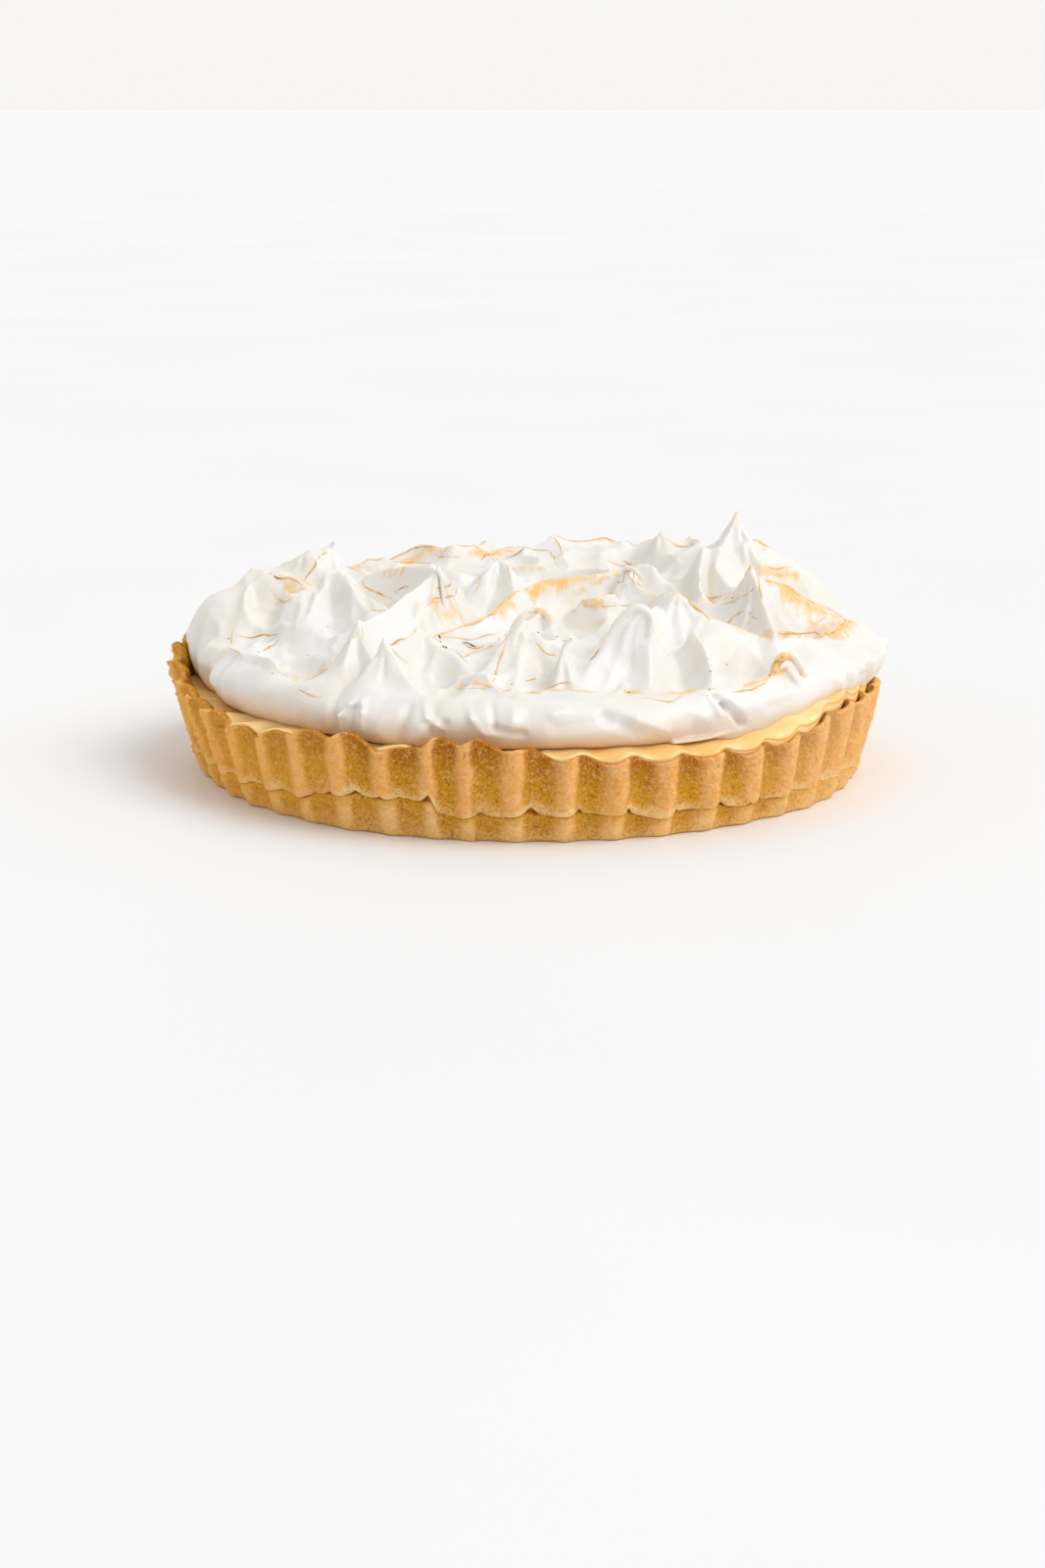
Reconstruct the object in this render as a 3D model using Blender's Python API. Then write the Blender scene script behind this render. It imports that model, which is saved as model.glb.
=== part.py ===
"""Lemon meringue pie: a fluted tart crust, its lemon filling and a peaked meringue top.

Metres, +Z up, with the origin at the middle of the flat base.
Angles are in degrees, measured from the front (-Y) and growing towards +X.
"""
import math

import bmesh
import bpy
from mathutils import Vector

MM = 0.001

# ---- crust ----
# Outside of the wall midway between crest and groove, at the base and at NOMINAL_RIM,
# as (degrees, millimetres): the baked pie is not quite round, and flares most at its right
BASE_RADIUS = (
    (-180, 117.8), (-120, 117.4), (-88, 116.6), (-66, 114.6), (-50, 115.8), (-32, 118.4), (0, 118.4),
    (25, 118.2), (50, 117.2), (90, 113.8), (130, 116),
)
RIM_RADIUS = (
    (-180, 124.4), (-120, 124.6), (-90, 124.9), (-50, 124.4), (0, 124.4), (25, 124.2), (50, 123.4),
    (90, 122.2), (130, 123.6),
)
NOMINAL_RIM = 32.0 * MM
FLUTES = 46
FLUTE_DEPTH = 1.7 * MM         # crest or groove, measured from the wall's middle line
FIRST_CREST = -2.3             # degrees
LEFT_CREST_SHIFT = 3.4         # the flutes on the left are this far ahead of an even spacing
RIM_WAVE = 1.1 * MM            # the rim stands a little higher beside each crest
WALL_THICKNESS = 3.4 * MM      # at the rim
FLOOR_THICKNESS = 4.5 * MM
FLOOR_INSET = 6.8 * MM         # from the base's outside to the floor's edge inside
FOLD_OVERHANG = 1.3 * MM       # the wall hangs over the base strip by this much
EDGE_ROUND = 0.9 * MM
CRUST_COLUMNS = 230

# Heights round the pie, as (degrees, millimetres)
RIM_HEIGHT = (
    (-180, 33), (-150, 32), (-120, 37), (-102, 41), (-90, 41), (-80, 36), (-73, 32.5), (-62, 31),
    (-53, 28), (-46, 28), (-37, 32), (-29, 33), (-21, 29), (-14, 34), (-8, 34), (0, 31), (5, 28.5),
    (13, 27), (27, 26.5), (35, 26), (42, 26.5), (48, 27.5), (54, 31), (59, 33), (68, 32.5),
    (76, 32), (90, 32), (110, 31), (140, 34),
)
FOLD_HEIGHT = (
    (-180, 9), (-140, 8), (-100, 9), (-60, 8), (-40, 9), (-31, 13), (-19, 13.5), (-15.5, 14),
    (-12.5, 8.5), (0, 9.8), (12, 9.6), (21, 7), (28, 9), (34, 7.5), (60, 8), (120, 10), (150, 9),
)
FOLD_SHARE = (
    (-180, 1), (-135, 1), (-110, 0), (-60, 0), (-36, 1), (40, 1), (52, 0), (110, 0), (135, 1),
)

# ---- filling ----
GAP = 0.3 * MM                 # between solids that touch
FILLING_LEVEL = 28.8 * MM
FILLING_SHOULDER = 114.5 * MM  # inside this radius the filling is level
# It has risen against the crust, to these heights as (degrees, millimetres)
FILLING_EDGE = (
    (-180, 30), (-150, 29), (-120, 32), (-90, 33), (-75, 31.5), (-60, 30), (-48, 28.8), (34, 28.8),
    (41, 30), (47, 32), (54, 34.4), (62, 35.3), (72, 34.2), (84, 32.8), (110, 29.5), (140, 31),
)
FILLING_BELOW_RIM = 0.5 * MM

# ---- meringue ----
GRID = 38                      # squares along each side of the top's grid
FOOT_RADIUS = (
    (-180, 114), (-140, 113), (-100, 114.2), (-66, 114), (-45, 110), (-33, 110), (-22, 114), (-10, 111),
    (0, 110), (12, 110), (27, 110), (36, 116), (48, 113), (66, 112), (90, 112), (110, 114.3), (150, 113),
)
BULGE_RADIUS = (
    (-180, 122), (-150, 120), (-120, 122), (-92, 122), (-70, 119), (-52, 116), (-40, 116), (-28, 117),
    (-17, 118), (-6, 116), (10, 117), (26, 116), (38, 119), (60, 120), (78, 123), (92, 127),
    (106, 124), (125, 120), (150, 122),
)
BULGE_HEIGHT = (
    (-180, 39), (-120, 40), (-92, 41), (-60, 39), (-30, 38), (0, 37), (40, 38), (70, 40), (92, 43), (140, 40),
)
TOP_RADIUS = 124.4 * MM
EDGE_TOP = 46.0 * MM           # level of the top surface near the skirt
CROWN = 11.0 * MM              # how much higher it is in the middle
BACK_RISE = 6.0 * MM           # how much higher the back is than the front
EDGE_FULLNESS = 11             # the higher, the steeper the skirt
# Rounded mounds, as (x, y, top height, reach) in millimetres
MOUNDS = (
    (-95, 4, 66, 38), (-112, -6, 55, 20), (-78, 12, 70, 22), (104, -4, 55, 27), (88, 36, 68, 42),
    (62, 60, 67, 45), (20, 72, 65, 50), (-25, 72, 63, 45), (-60, 60, 60, 40),
)
# Peaks, as (x, y, tip height, reach) in millimetres
PEAKS = (
    (32, -76, 68, 19), (11, -90, 60, 11), (-4, -74, 64, 16), (-47, -84, 58, 12), (-56, -66, 61, 17),
    (50, -46, 70, 21), (84, -66, 54, 13), (-104, -38, 54, 12), (-31, -30, 74, 25), (33, -14, 70, 18),
    (78, -24, 72, 24), (2, -40, 67, 18), (-13, 12, 71, 18), (-72, 14, 75, 17), (-98, 4, 67, 21),
    (74, 34, 85, 26), (50, 52, 73, 19), (86, 58, 73, 20), (110, -4, 56, 15), (96, 22, 66, 18),
    (-52, -8, 62, 18), (62, 2, 68, 15), (8, 66, 67, 22), (28, 84, 68, 19), (-30, 76, 64, 22),
    (-62, 54, 62, 20), (-88, 44, 60, 18), (-6, 96, 60, 16), (58, 88, 65, 18), (-48, 96, 58, 14),
    (30, 24, 66, 20), (-36, 34, 64, 20),
)
PEAK_SHARPNESS = 1.8           # 1 is a straight cone, above 1 the sides are hollow
PEAK_ARMS = 3                  # ridges that run down from each tip


def smooth_step(t):
    t = min(max(t, 0.0), 1.0)
    return t * t * (3.0 - 2.0 * t)


def around(angle, knots):
    """Value at an angle on the smooth closed curve through (degrees, value) knots."""
    angle = (angle + 180.0) % 360.0 - 180.0
    closed = knots + ((knots[0][0] + 360, knots[0][1]),)
    for (start, low), (end, high) in zip(closed, closed[1:]):
        if start <= angle <= end:
            return low + (high - low) * smooth_step((angle - start) / (end - start))
    return closed[-1][1]


def polar(angle, radius, height):
    turn = math.radians(angle)
    return Vector((radius * math.sin(turn), -radius * math.cos(turn), height))


def flute_turn(angle):
    """Phase of the fluting, 0 on a crest."""
    ahead = LEFT_CREST_SHIFT * smooth_step((angle + 120) / 25) * smooth_step((-6 - angle) / 12)
    return FLUTES * math.radians(angle - FIRST_CREST - ahead)


def flute(angle):
    """Sideways wave of the wall, near 1 on the rather narrow crests and -1 in the grooves."""
    turn = flute_turn(angle)
    uneven = 1.0 + 0.15 * math.sin(math.radians(5 * angle + 40)) + 0.1 * math.sin(math.radians(11 * angle))
    return uneven * (math.cos(turn) + 0.15 * math.cos(2 * turn))


def rim_height(angle):
    return around(angle, RIM_HEIGHT) * MM + RIM_WAVE * math.cos(flute_turn(angle) - 1.6)


def wall_radius(angle, height):
    """Outside of the crust above its fold."""
    base = around(angle, BASE_RADIUS) * MM
    flare = base + (around(angle, RIM_RADIUS) * MM - base) * height / NOMINAL_RIM
    return flare + FLUTE_DEPTH * flute(angle) * smooth_step(0.45 + height / (12 * MM))


def strip_radius(angle, height):
    """Outside of the base strip, below the fold."""
    return wall_radius(angle, height) - FOLD_OVERHANG * around(angle, FOLD_SHARE)


def inner_radius(angle, height):
    """Inside of the crust's wall."""
    up = smooth_step((height - FLOOR_THICKNESS) / (20 * MM))
    floor_line = around(angle, BASE_RADIUS) * MM - FLOOR_INSET + 0.3 * FLUTE_DEPTH * flute(angle)
    return floor_line + (wall_radius(angle, height) - WALL_THICKNESS - floor_line) * up


def fold_height(angle):
    return around(angle, FOLD_HEIGHT) * MM + 0.6 * MM * math.cos(flute_turn(angle))


def crust_rings(angle):
    """Section of the crust at one angle, from the base's edge over the rim to the floor."""
    rim = rim_height(angle)
    fold = fold_height(angle)
    high = 0.62 * rim
    return (
        (strip_radius(angle, 0) - EDGE_ROUND, 0.0),
        (strip_radius(angle, EDGE_ROUND), EDGE_ROUND),
        (strip_radius(angle, fold), fold),
        (wall_radius(angle, fold), fold - 0.5 * MM),
        (wall_radius(angle, high) + 0.4 * MM, high),
        (wall_radius(angle, rim), rim - EDGE_ROUND),
        (wall_radius(angle, rim) - 0.5 * WALL_THICKNESS, rim),
        (inner_radius(angle, rim), rim - EDGE_ROUND),
        (inner_radius(angle, FLOOR_THICKNESS), FLOOR_THICKNESS),
    )


def filling_rings(angle):
    """Section of the filling, from the middle of its underside's edge to its level top."""
    bottom = FLOOR_THICKNESS + GAP
    edge = min(around(angle, FILLING_EDGE) * MM, rim_height(angle) - EDGE_ROUND) - FILLING_BELOW_RIM
    return (
        (inner_radius(angle, FLOOR_THICKNESS) - 3 * GAP, bottom),
        (inner_line(angle, edge) - 2.5 * GAP, edge),
        (FILLING_SHOULDER, FILLING_LEVEL),
    )


def inner_line(angle, height):
    """Inside of the crust as built: the straight line between its floor and its rim."""
    low, high = FLOOR_THICKNESS, rim_height(angle) - EDGE_ROUND
    share = (height - low) / (high - low)
    start = inner_radius(angle, low)
    return start + (inner_radius(angle, high + EDGE_ROUND) - start) * share


def object_from(bm, name, colour, roughness):
    bmesh.ops.recalc_face_normals(bm, faces=bm.faces[:])
    mesh = bpy.data.meshes.new(name)
    bm.to_mesh(mesh)
    bm.free()
    mesh.shade_smooth()
    mesh.set_sharp_from_angle(angle=math.radians(50))
    material = bpy.data.materials.new(name)
    material.use_nodes = True
    shader = material.node_tree.nodes["Principled BSDF"]
    shader.inputs["Base Color"].default_value = (*colour, 1.0)
    shader.inputs["Roughness"].default_value = roughness
    shader.inputs["Metallic"].default_value = 0.0
    mesh.materials.append(material)
    made = bpy.data.objects.new(name, mesh)
    bpy.context.scene.collection.objects.link(made)
    return made


def turned(section, columns):
    """Closed body whose section changes with the angle: its rings are joined, its ends capped."""
    bm = bmesh.new()
    loops = []
    for column in range(columns):
        angle = 360.0 * column / columns - 180.0
        loops.append([bm.verts.new(polar(angle, radius, height)) for radius, height in section(angle)])
    for left, right in zip(loops, loops[1:] + loops[:1]):
        for row in range(len(left) - 1):
            bm.faces.new((left[row], right[row], right[row + 1], left[row + 1]))
    bm.faces.new([loop[0] for loop in loops])
    bm.faces.new([loop[-1] for loop in loops])
    return bm


def peak_lift(x, y, peak, surface):
    """How far one peak raises the surface: a hollow-sided cone with a few soft ridges."""
    peak_x, peak_y, tip, reach = (value * MM for value in peak)
    away_x, away_y = x - peak_x, y - peak_y
    turn = math.atan2(away_y, away_x)
    reach *= 1.0 + 0.18 * math.cos(PEAK_ARMS * turn + peak[0])
    distance = math.hypot(away_x, away_y) / reach
    return max(tip - surface, 0.0) * max(1.0 - distance, 0.0) ** PEAK_SHARPNESS


def mound_lift(x, y, mound, surface):
    """How far one mound raises the surface: a rounded bell."""
    mound_x, mound_y, top, reach = (value * MM for value in mound)
    distance = math.hypot(x - mound_x, y - mound_y) / reach
    return max(top - surface, 0.0) * max(1.0 - distance * distance, 0.0) ** 2


def blended(lifts):
    """Smooth union of several lifts: close to the largest of them."""
    return sum(lift ** 4 for lift in lifts) ** 0.25


def meringue_top(x, y):
    out = min(math.hypot(x, y) / TOP_RADIUS, 1.0)
    surface = EDGE_TOP + CROWN * (1.0 - out ** 3)
    surface += BACK_RISE * smooth_step(0.5 + 0.5 * y / TOP_RADIUS) * (1.0 - out ** 6)
    surface += blended([mound_lift(x, y, mound, surface) for mound in MOUNDS])
    return surface + blended([peak_lift(x, y, peak, surface) for peak in PEAKS])


def disc_from_square(u, v):
    """Angle in degrees and share of the radius for a point of the square from -1 to 1."""
    if max(abs(u), abs(v)) < 1e-9:
        return 0.0, 0.0
    if abs(u) > abs(v):
        share, turn = u, (math.pi / 4) * (v / u)
    else:
        share, turn = v, math.pi / 2 - (math.pi / 4) * (u / v)
    x, y = share * math.cos(turn), share * math.sin(turn)
    return math.degrees(math.atan2(x, -y)), math.hypot(x, y)


def bulge_level(angle):
    return max(around(angle, BULGE_HEIGHT) * MM, around(angle, RIM_HEIGHT) * MM + RIM_WAVE + 2.5 * MM)


def skirt_point(u, v):
    """Point of the top surface for a point of the square; its border is the widest line."""
    angle, share = disc_from_square(u, v)
    out = math.sin(share * math.radians(80)) / math.sin(math.radians(80))
    flat = polar(angle, out * around(angle, BULGE_RADIUS) * MM, 0.0)
    low = bulge_level(angle)
    falloff = max(1.0 - out ** EDGE_FULLNESS, 0.0) ** 0.5
    flat.z = low + (meringue_top(flat.x, flat.y) - low) * falloff
    return flat


def snap_tips(bm):
    """Move the nearest corner of the grid onto each tip, so that no tip is lost between corners."""
    for peak in PEAKS:
        tip = Vector(peak[:3]) * MM
        nearest = min(bm.verts, key=lambda vert: (vert.co.xy - tip.xy).length)
        nearest.co = tip


def lower_border(bm, place):
    """Extrude the open border once and move each new corner to place(angle)."""
    border = [edge for edge in bm.edges if edge.is_boundary]
    made = bmesh.ops.extrude_edge_only(bm, edges=border)["geom"]
    for vert in made:
        if isinstance(vert, bmesh.types.BMVert):
            vert.co = place(math.degrees(math.atan2(vert.co.x, -vert.co.y)))


def above_rim(angle):
    """Where the meringue passes just over the crust's rim."""
    height = max(around(angle, RIM_HEIGHT) * MM + RIM_WAVE, FILLING_LEVEL) + 0.9 * MM
    inside = inner_radius(angle, rim_height(angle)) - 1.2 * MM
    return polar(angle, min(around(angle, FOOT_RADIUS) * MM + 2.0 * MM, inside), height)


def foot(angle):
    return polar(angle, around(angle, FOOT_RADIUS) * MM, FILLING_LEVEL + GAP)


def build_crust():
    return object_from(turned(crust_rings, CRUST_COLUMNS), "crust", (0.62, 0.33, 0.09), 0.75)


def build_filling():
    return object_from(turned(filling_rings, CRUST_COLUMNS), "lemon_filling", (0.84, 0.55, 0.2), 0.3)


def build_meringue():
    bm = bmesh.new()
    bmesh.ops.create_grid(bm, x_segments=GRID, y_segments=GRID, size=1.0)
    for vert in bm.verts:
        vert.co = skirt_point(vert.co.x, vert.co.y)
    snap_tips(bm)
    lower_border(bm, above_rim)
    lower_border(bm, foot)
    bmesh.ops.holes_fill(bm, edges=[edge for edge in bm.edges if edge.is_boundary])
    return object_from(bm, "meringue", (0.92, 0.9, 0.85), 0.35)


def main():
    for old in list(bpy.data.objects):
        bpy.data.objects.remove(old, do_unlink=True)
    build_crust()
    build_filling()
    build_meringue()


main()
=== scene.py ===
"""Looks of the lemon meringue pie: fine crust, glossy curd, and meringue with toasted ridges.

Shapes are worked out in millimetres and turned into metres when a mesh is made.
Angles are in degrees, measured from the front (-Y) and growing towards +X.
"""
import itertools
import math

import bmesh
import bpy
import numpy as np
from mathutils.bvhtree import BVHTree
from mathutils.kdtree import KDTree
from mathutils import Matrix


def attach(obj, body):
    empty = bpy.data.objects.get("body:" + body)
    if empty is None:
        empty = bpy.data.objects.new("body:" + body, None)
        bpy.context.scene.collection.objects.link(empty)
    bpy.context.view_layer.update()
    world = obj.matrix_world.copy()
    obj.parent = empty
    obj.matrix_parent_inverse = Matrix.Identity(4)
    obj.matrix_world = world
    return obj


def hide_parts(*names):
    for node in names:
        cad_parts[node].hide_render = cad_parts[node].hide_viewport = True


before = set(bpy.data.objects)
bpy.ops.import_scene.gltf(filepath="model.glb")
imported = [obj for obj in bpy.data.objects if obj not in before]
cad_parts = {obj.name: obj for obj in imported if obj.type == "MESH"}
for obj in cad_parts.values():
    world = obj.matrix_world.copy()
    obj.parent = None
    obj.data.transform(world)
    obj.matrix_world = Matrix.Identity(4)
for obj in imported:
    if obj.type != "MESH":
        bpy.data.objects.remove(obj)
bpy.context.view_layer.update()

MM = 0.001

# ---- crust ----
# Outside of the wall midway between crest and groove, at the base and at NOMINAL_RIM, as (degrees, radius)
BASE_RADIUS = (
    (-180, 117.8), (-120, 117.4), (-88, 116.6), (-66, 114.6), (-50, 115.8), (-32, 118.4), (0, 118.4),
    (25, 118.2), (50, 117.2), (90, 113.8), (130, 116),
)
RIM_RADIUS = (
    (-180, 124.4), (-120, 124.6), (-90, 124.9), (-50, 124.4), (0, 124.4), (25, 124.2), (50, 123.4),
    (90, 122.2), (130, 123.6),
)
NOMINAL_RIM = 32.0
CRUST_COLUMNS = 1290           # points round each ring of the crust
FLUTES = 46
FLUTE_DEPTH = 1.7
FIRST_CREST = -2.3             # angle of the crest nearest the front
LEFT_CREST_SHIFT = 3.4         # the crests at the left stand this many degrees further on
CREASE_PHASE = 1.6             # turn past a crest at which the rim is highest and the fold pinches in
RIM_WAVE = 1.1                 # how far the rim waves up and down with the flutes
WALL_THICKNESS = 3.4
RIM_ROUNDING = 0.9
FLOOR_THICKNESS = 4.5
FLOOR_INSET = 6.8              # from the outside of the base to the inside of the wall
FOLD_OVERHANG = 1.3            # of the fold of dough over the base strip
# Height of the rim before its wave, as (degrees, height)
RIM_HEIGHT = (
    (-180, 33), (-150, 32), (-120, 37), (-102, 41), (-90, 41), (-80, 36), (-73, 32.5), (-62, 31), (-53, 28),
    (-46, 28), (-37, 32), (-29, 33), (-21, 29), (-14, 34), (-8, 34), (0, 31), (5, 28.5), (13, 27),
    (27, 26.5), (35, 26), (42, 26.5), (48, 27.5), (54, 31), (59, 33), (68, 32.5), (76, 32), (90, 32),
    (110, 31), (140, 34),
)
# Lower edge of the fold, as (degrees, height)
FOLD_HEIGHT = (
    (-180, 9), (-140, 8), (-100, 9), (-60, 8), (-40, 9), (-31, 12.5), (-19, 13), (-15.2, 13.5),
    (-13.8, 8.3), (0, 9.4), (12, 9.4), (21, 7), (28, 9), (34, 7.5), (60, 8), (120, 10), (150, 9),
)
BASE, WALL, INSIDE = 0, 1, 2   # kinds of crust surface
# Where the fold stands proud (1) and where it has melted into the wall (0)
FOLD_SHARE = (
    (-180, 1), (-135, 1), (-110, 0), (-60, 0), (-36, 1), (40, 1), (52, 0), (110, 0), (135, 1),
)
# Openings under the fold, as (degrees, half-width in degrees, height)
FOLD_GAPS = (
    (-33, 1.5, 1.2), (-28, 1.3, 1.0), (-23.5, 2.0, 1.4), (-15.4, 1.5, 2.8), (-7.5, 0.8, 0.6),
    (0.2, 1.5, 2.0), (7.4, 0.9, 1.1), (15.2, 0.8, 1.2), (23, 0.9, 0.7), (31, 1.6, 1.3), (36.5, 1.0, 1.1),
    (150, 1.5, 1.6), (166, 1.2, 1.1), (-172, 1.6, 2.0), (-158, 1.2, 1.2),
)

# ---- filling ----
FILLING_LEVEL = 28.8
CURD_COLUMNS = 960
CURD_RISE_FROM = 104.0         # radius from which the curd rises or falls to its edge
# It has risen against the crust, to these heights as (degrees, height)
FILLING_EDGE = (
    (-180, 30), (-150, 29), (-120, 32), (-90, 33), (-75, 31.5), (-60, 30), (-48, 28.8), (34, 28.8),
    (41, 30), (47, 32), (54, 34.4), (62, 35.3), (72, 34.2), (84, 32.8), (110, 29.5), (140, 31),
)
# and swollen above that on the right
SWELL = ((-180, 0), (30, 0), (38, 1.6), (46, 4.2), (58, 5.2), (70, 5.0), (84, 2.5), (100, 0))

# ---- meringue ----
# By angle: radius of the skirt where it meets the curd, height of its widest place, and its radius there
FOOT_RADIUS = (
    (-180, 114), (-140, 113), (-100, 114), (-78, 111.5), (-64, 110.5), (-45, 110), (-33, 110), (-22, 114),
    (-10, 111), (0, 110), (12, 110), (27, 110), (36, 116), (48, 113), (66, 112), (90, 112), (110, 114.3),
    (150, 113),
)
BULGE_HEIGHT = (
    (-180, 39), (-120, 40), (-92, 41), (-60, 39), (-30, 37), (0, 36), (28, 36.5), (42, 38.5), (62, 40.5),
    (92, 43), (140, 40),
)
BULGE_BASE = (
    (-180, 119), (-150, 118), (-120, 119.5), (-94, 119.5), (-80, 116), (-71, 112.5), (-56, 112.5),
    (-40, 113), (-20, 114.5), (0, 114), (26, 113.5), (44, 114.4), (60, 115.6), (78, 119.5), (92, 122.5),
    (106, 121), (125, 118), (150, 119),
)
# Rounded billows of the skirt, as (middle in degrees, half-width in degrees, bulge)
BILLOWS = (
    (-176, 13, 3.5), (-155, 10, 3), (-136, 12, 3.5), (-115, 11, 3), (-91, 14, 3.4), (-62, 13, 4.6),
    (-44, 9, 1.8), (-36.5, 5.5, 2.2), (-28.5, 4.2, 3.4), (-20.5, 5.0, 3.4), (-12.5, 3.5, 2), (-5, 5.5, 3),
    (11, 19, 3), (42, 16.5, 3.2), (67, 11, 2.6), (88, 14, 5.2), (112, 12, 3), (133, 11, 2.4), (158, 12, 3),
)
TOP_RADIUS = 124.4
EDGE_TOP = 45.0                # height of the top at its edge
# Valley behind the crest of the skirt, as (degrees, depth)
VALLEY = (
    (-180, 4), (-120, 4), (-82, 2), (-66, 3), (-52, 8), (-38, 7), (-24, 6), (-10, 6), (5, 6), (20, 7),
    (34, 9), (50, 10), (62, 7), (76, 4), (100, 4), (140, 5),
)
VALLEY_RADIUS, VALLEY_REACH = 97.0, 13.0
CROWN = 7.5                    # the middle stands this much above the edge
BACK_RISE = 6.0                # and the back this much above the front
EDGE_FULLNESS = 11             # a larger number makes the edge of the top squarer
# Spooned hollows between the ridges, as (size, height of the walls between them, seed)
SCOOPS = ((19.0, 6.0, 31), (9.5, 2.2, 47))
VOXEL = 0.65                   # size of the meringue's remeshed grid
MOST_TRIANGLES = 195000
SKIN_SIDE = 620                # points along each side of the grid that the meringue is shaped on
# Broad mounds, as (x, y, height of the top, reach)
MOUNDS = (
    (-95, 4, 66, 38), (-113, -3, 65, 22), (-78, 12, 70, 22), (104, -4, 55, 27), (88, 36, 68, 42),
    (62, 60, 67, 45), (20, 72, 65, 50), (-25, 72, 63, 45), (-60, 60, 60, 40),
)
# Scooped hollows, as (x, y, depth, reach, stretch along x)
HOLLOWS = (
    # dents of the left mound, and a crease at the right
    (-93, -22, 5, 12, 1.0), (-72, -8, 4, 9, 0.7), (-104, -30, 3, 10, 1.3), (118, -16, 6, 9, 1.0),
    (-78, -44, 5, 20, 1.4), (-66, -62, 5, 16, 1.6), (-95, -58, 3.5, 12, 1.2), (-100, 22, 3, 14, 1.0),
    # behind the crest of the front billows
    (-78, -70, 3, 10, 1.3), (-44, -74, 3, 12, 1.2), (-30, -84, 3, 9, 1.0), (-14, -74, 3, 9, 1.0),
    (2, -86, 3, 9, 1.2), (21, -88, 2, 8, 1.0), (46, -84, 2, 10, 1.2), (66, -78, 4, 13, 1.5),
    # between the peaks
    (66, -34, 5, 16, 1.2), (16, -44, 5, 17, 1.5), (-17, -20, 7, 17, 1.2), (56, 4, 5, 17, 1.3),
    (-22, -46, 3, 12, 1.5), (-58, 14, 3, 17, 1.3), (12, 30, 5, 22, 1.4), (30, 54, 5, 18, 1.3),
    (-30, 50, 3, 18, 1.5), (-34, 10, 2, 14, 1.2), (72, 80, 4, 14, 1.2), (-90, 50, 5, 16, 1.0),
    (0, 96, 4, 14, 1.6), (40, -60, 3, 11, 1.2), (96, -22, 3, 10, 1.0), (84, 6, 4, 12, 1.2),
    (-70, 34, 4, 14, 1.2), (50, -18, 4, 11, 1.2), (-44, -44, 3, 9, 0.8),
)
# Bowls with a crisp rim, as (x, y, depth, reach, stretch along x)
BOWLS = (
    (-93.5, -10.5, 6.5, 9, 0.85), (-86, -6.5, 4.5, 5.5, 1.3), (-67, -15, 3, 8, 0.6), (-113, -14, 2, 4, 1.0),
    (70, -66, 3, 11, 1.7), (-72, -50, 2.5, 10, 1.4), (14, -34, 2, 9, 1.6), (-24, -30, 2.5, 9, 1.2),
    (86, -32, 2.5, 8, 1.3), (62, 2, 2.5, 8, 1.3), (-30, 30, 3, 11, 1.5), (44, 44, 3, 10, 1.4),
    (-72, 62, 3, 10, 1.3),
)
# Fine folds, as (line through (x, y) points, half-width, lift)
FOLDS = (
    (((-98, -18), (-100.5, -13), (-100.5, -8), (-99, -4), (-95.5, -1), (-91, 0)), 2.0, 1.3),
    (((-92, -5), (-90, -8.5), (-86, -11), (-83, -12), (-81, -8)), 1.6, 1.3),
    (((-80, -5), (-80, -17), (-81, -30)), 2.2, 1.5), (((-77, -5), (-75, -14), (-76, -23)), 2.0, 1.4),
    (((-66, 0), (-63, -13), (-62, -23), (-61, -35)), 2.5, 1.5),
    (((-73, -1), (-71, -12), (-70, -22)), 2.0, 1.0), (((-59, -6), (-55, -20), (-52, -34)), 1.8, 1.0),
    (((-62, -2), (-52, -8), (-44, -14)), 1.8, 0.9), (((-114, -9), (-110, -14), (-108, -21)), 2.5, 1.8),
    (((-119, -14), (-117, -6), (-114, 1)), 2.5, 1.2), (((-104, -38), (-101, -43), (-97, -49)), 1.8, 1.2),
    (((-92, -36), (-89, -27), (-87, -24)), 1.5, 0.8), (((-66, -56), (-60, -64), (-56, -65)), 1.8, 1.2),
    (((-76, -74), (-66, -66), (-60, -56)), 1.6, 0.9),
    (((-31, -64), (-20, -61), (-8, -53), (3, -43)), 1.7, 0.9),
    (((-27, -70), (-16, -65), (-6, -56)), 1.6, 0.8), (((-25, -76), (-14, -70), (-8, -62)), 1.6, 0.7),
    (((-12, -30), (-2, -36), (10, -38)), 1.6, 0.7), (((9, -84), (3, -80), (0, -74)), 1.6, 0.9),
    (((19, -86), (22, -80), (24, -74)), 1.7, 1.0), (((24, -94), (28, -86), (32, -80)), 1.8, 1.0),
    (((44, -62), (52, -60), (58, -50)), 1.7, 1.0), (((58, -66), (66, -60), (72, -52)), 1.7, 0.9),
    (((76, -60), (84, -56), (92, -50)), 1.7, 0.9), (((86, -18), (92, -14), (99, -13)), 1.7, 0.9),
    (((84, -20), (92, -20), (102, -18)), 1.7, 0.9), (((60, -34), (66, -30), (74, -30)), 1.7, 1.0),
    (((56, -22), (64, -14), (74, -14)), 1.7, 0.8), (((100, -44), (108, -34), (112, -22)), 2.2, 1.1),
    (((106, 10), (112, 16), (116, 26)), 2.2, 1.0), (((-24, 20), (-14, 16), (-8, 4)), 1.8, 1.0),
    (((-44, 40), (-30, 44), (-16, 52)), 1.8, 1.0), (((20, 46), (30, 42), (40, 32)), 1.8, 1.0),
    (((64, 66), (72, 72), (76, 84)), 1.9, 1.2), (((-92, 62), (-80, 66), (-70, 74)), 1.9, 1.1),
    (((-20, 92), (-6, 90), (8, 94)), 1.8, 1.0), (((40, 88), (50, 80), (60, 70)), 1.8, 1.0),
    (((92, 56), (100, 44), (106, 30)), 2.0, 1.1),
)
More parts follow.
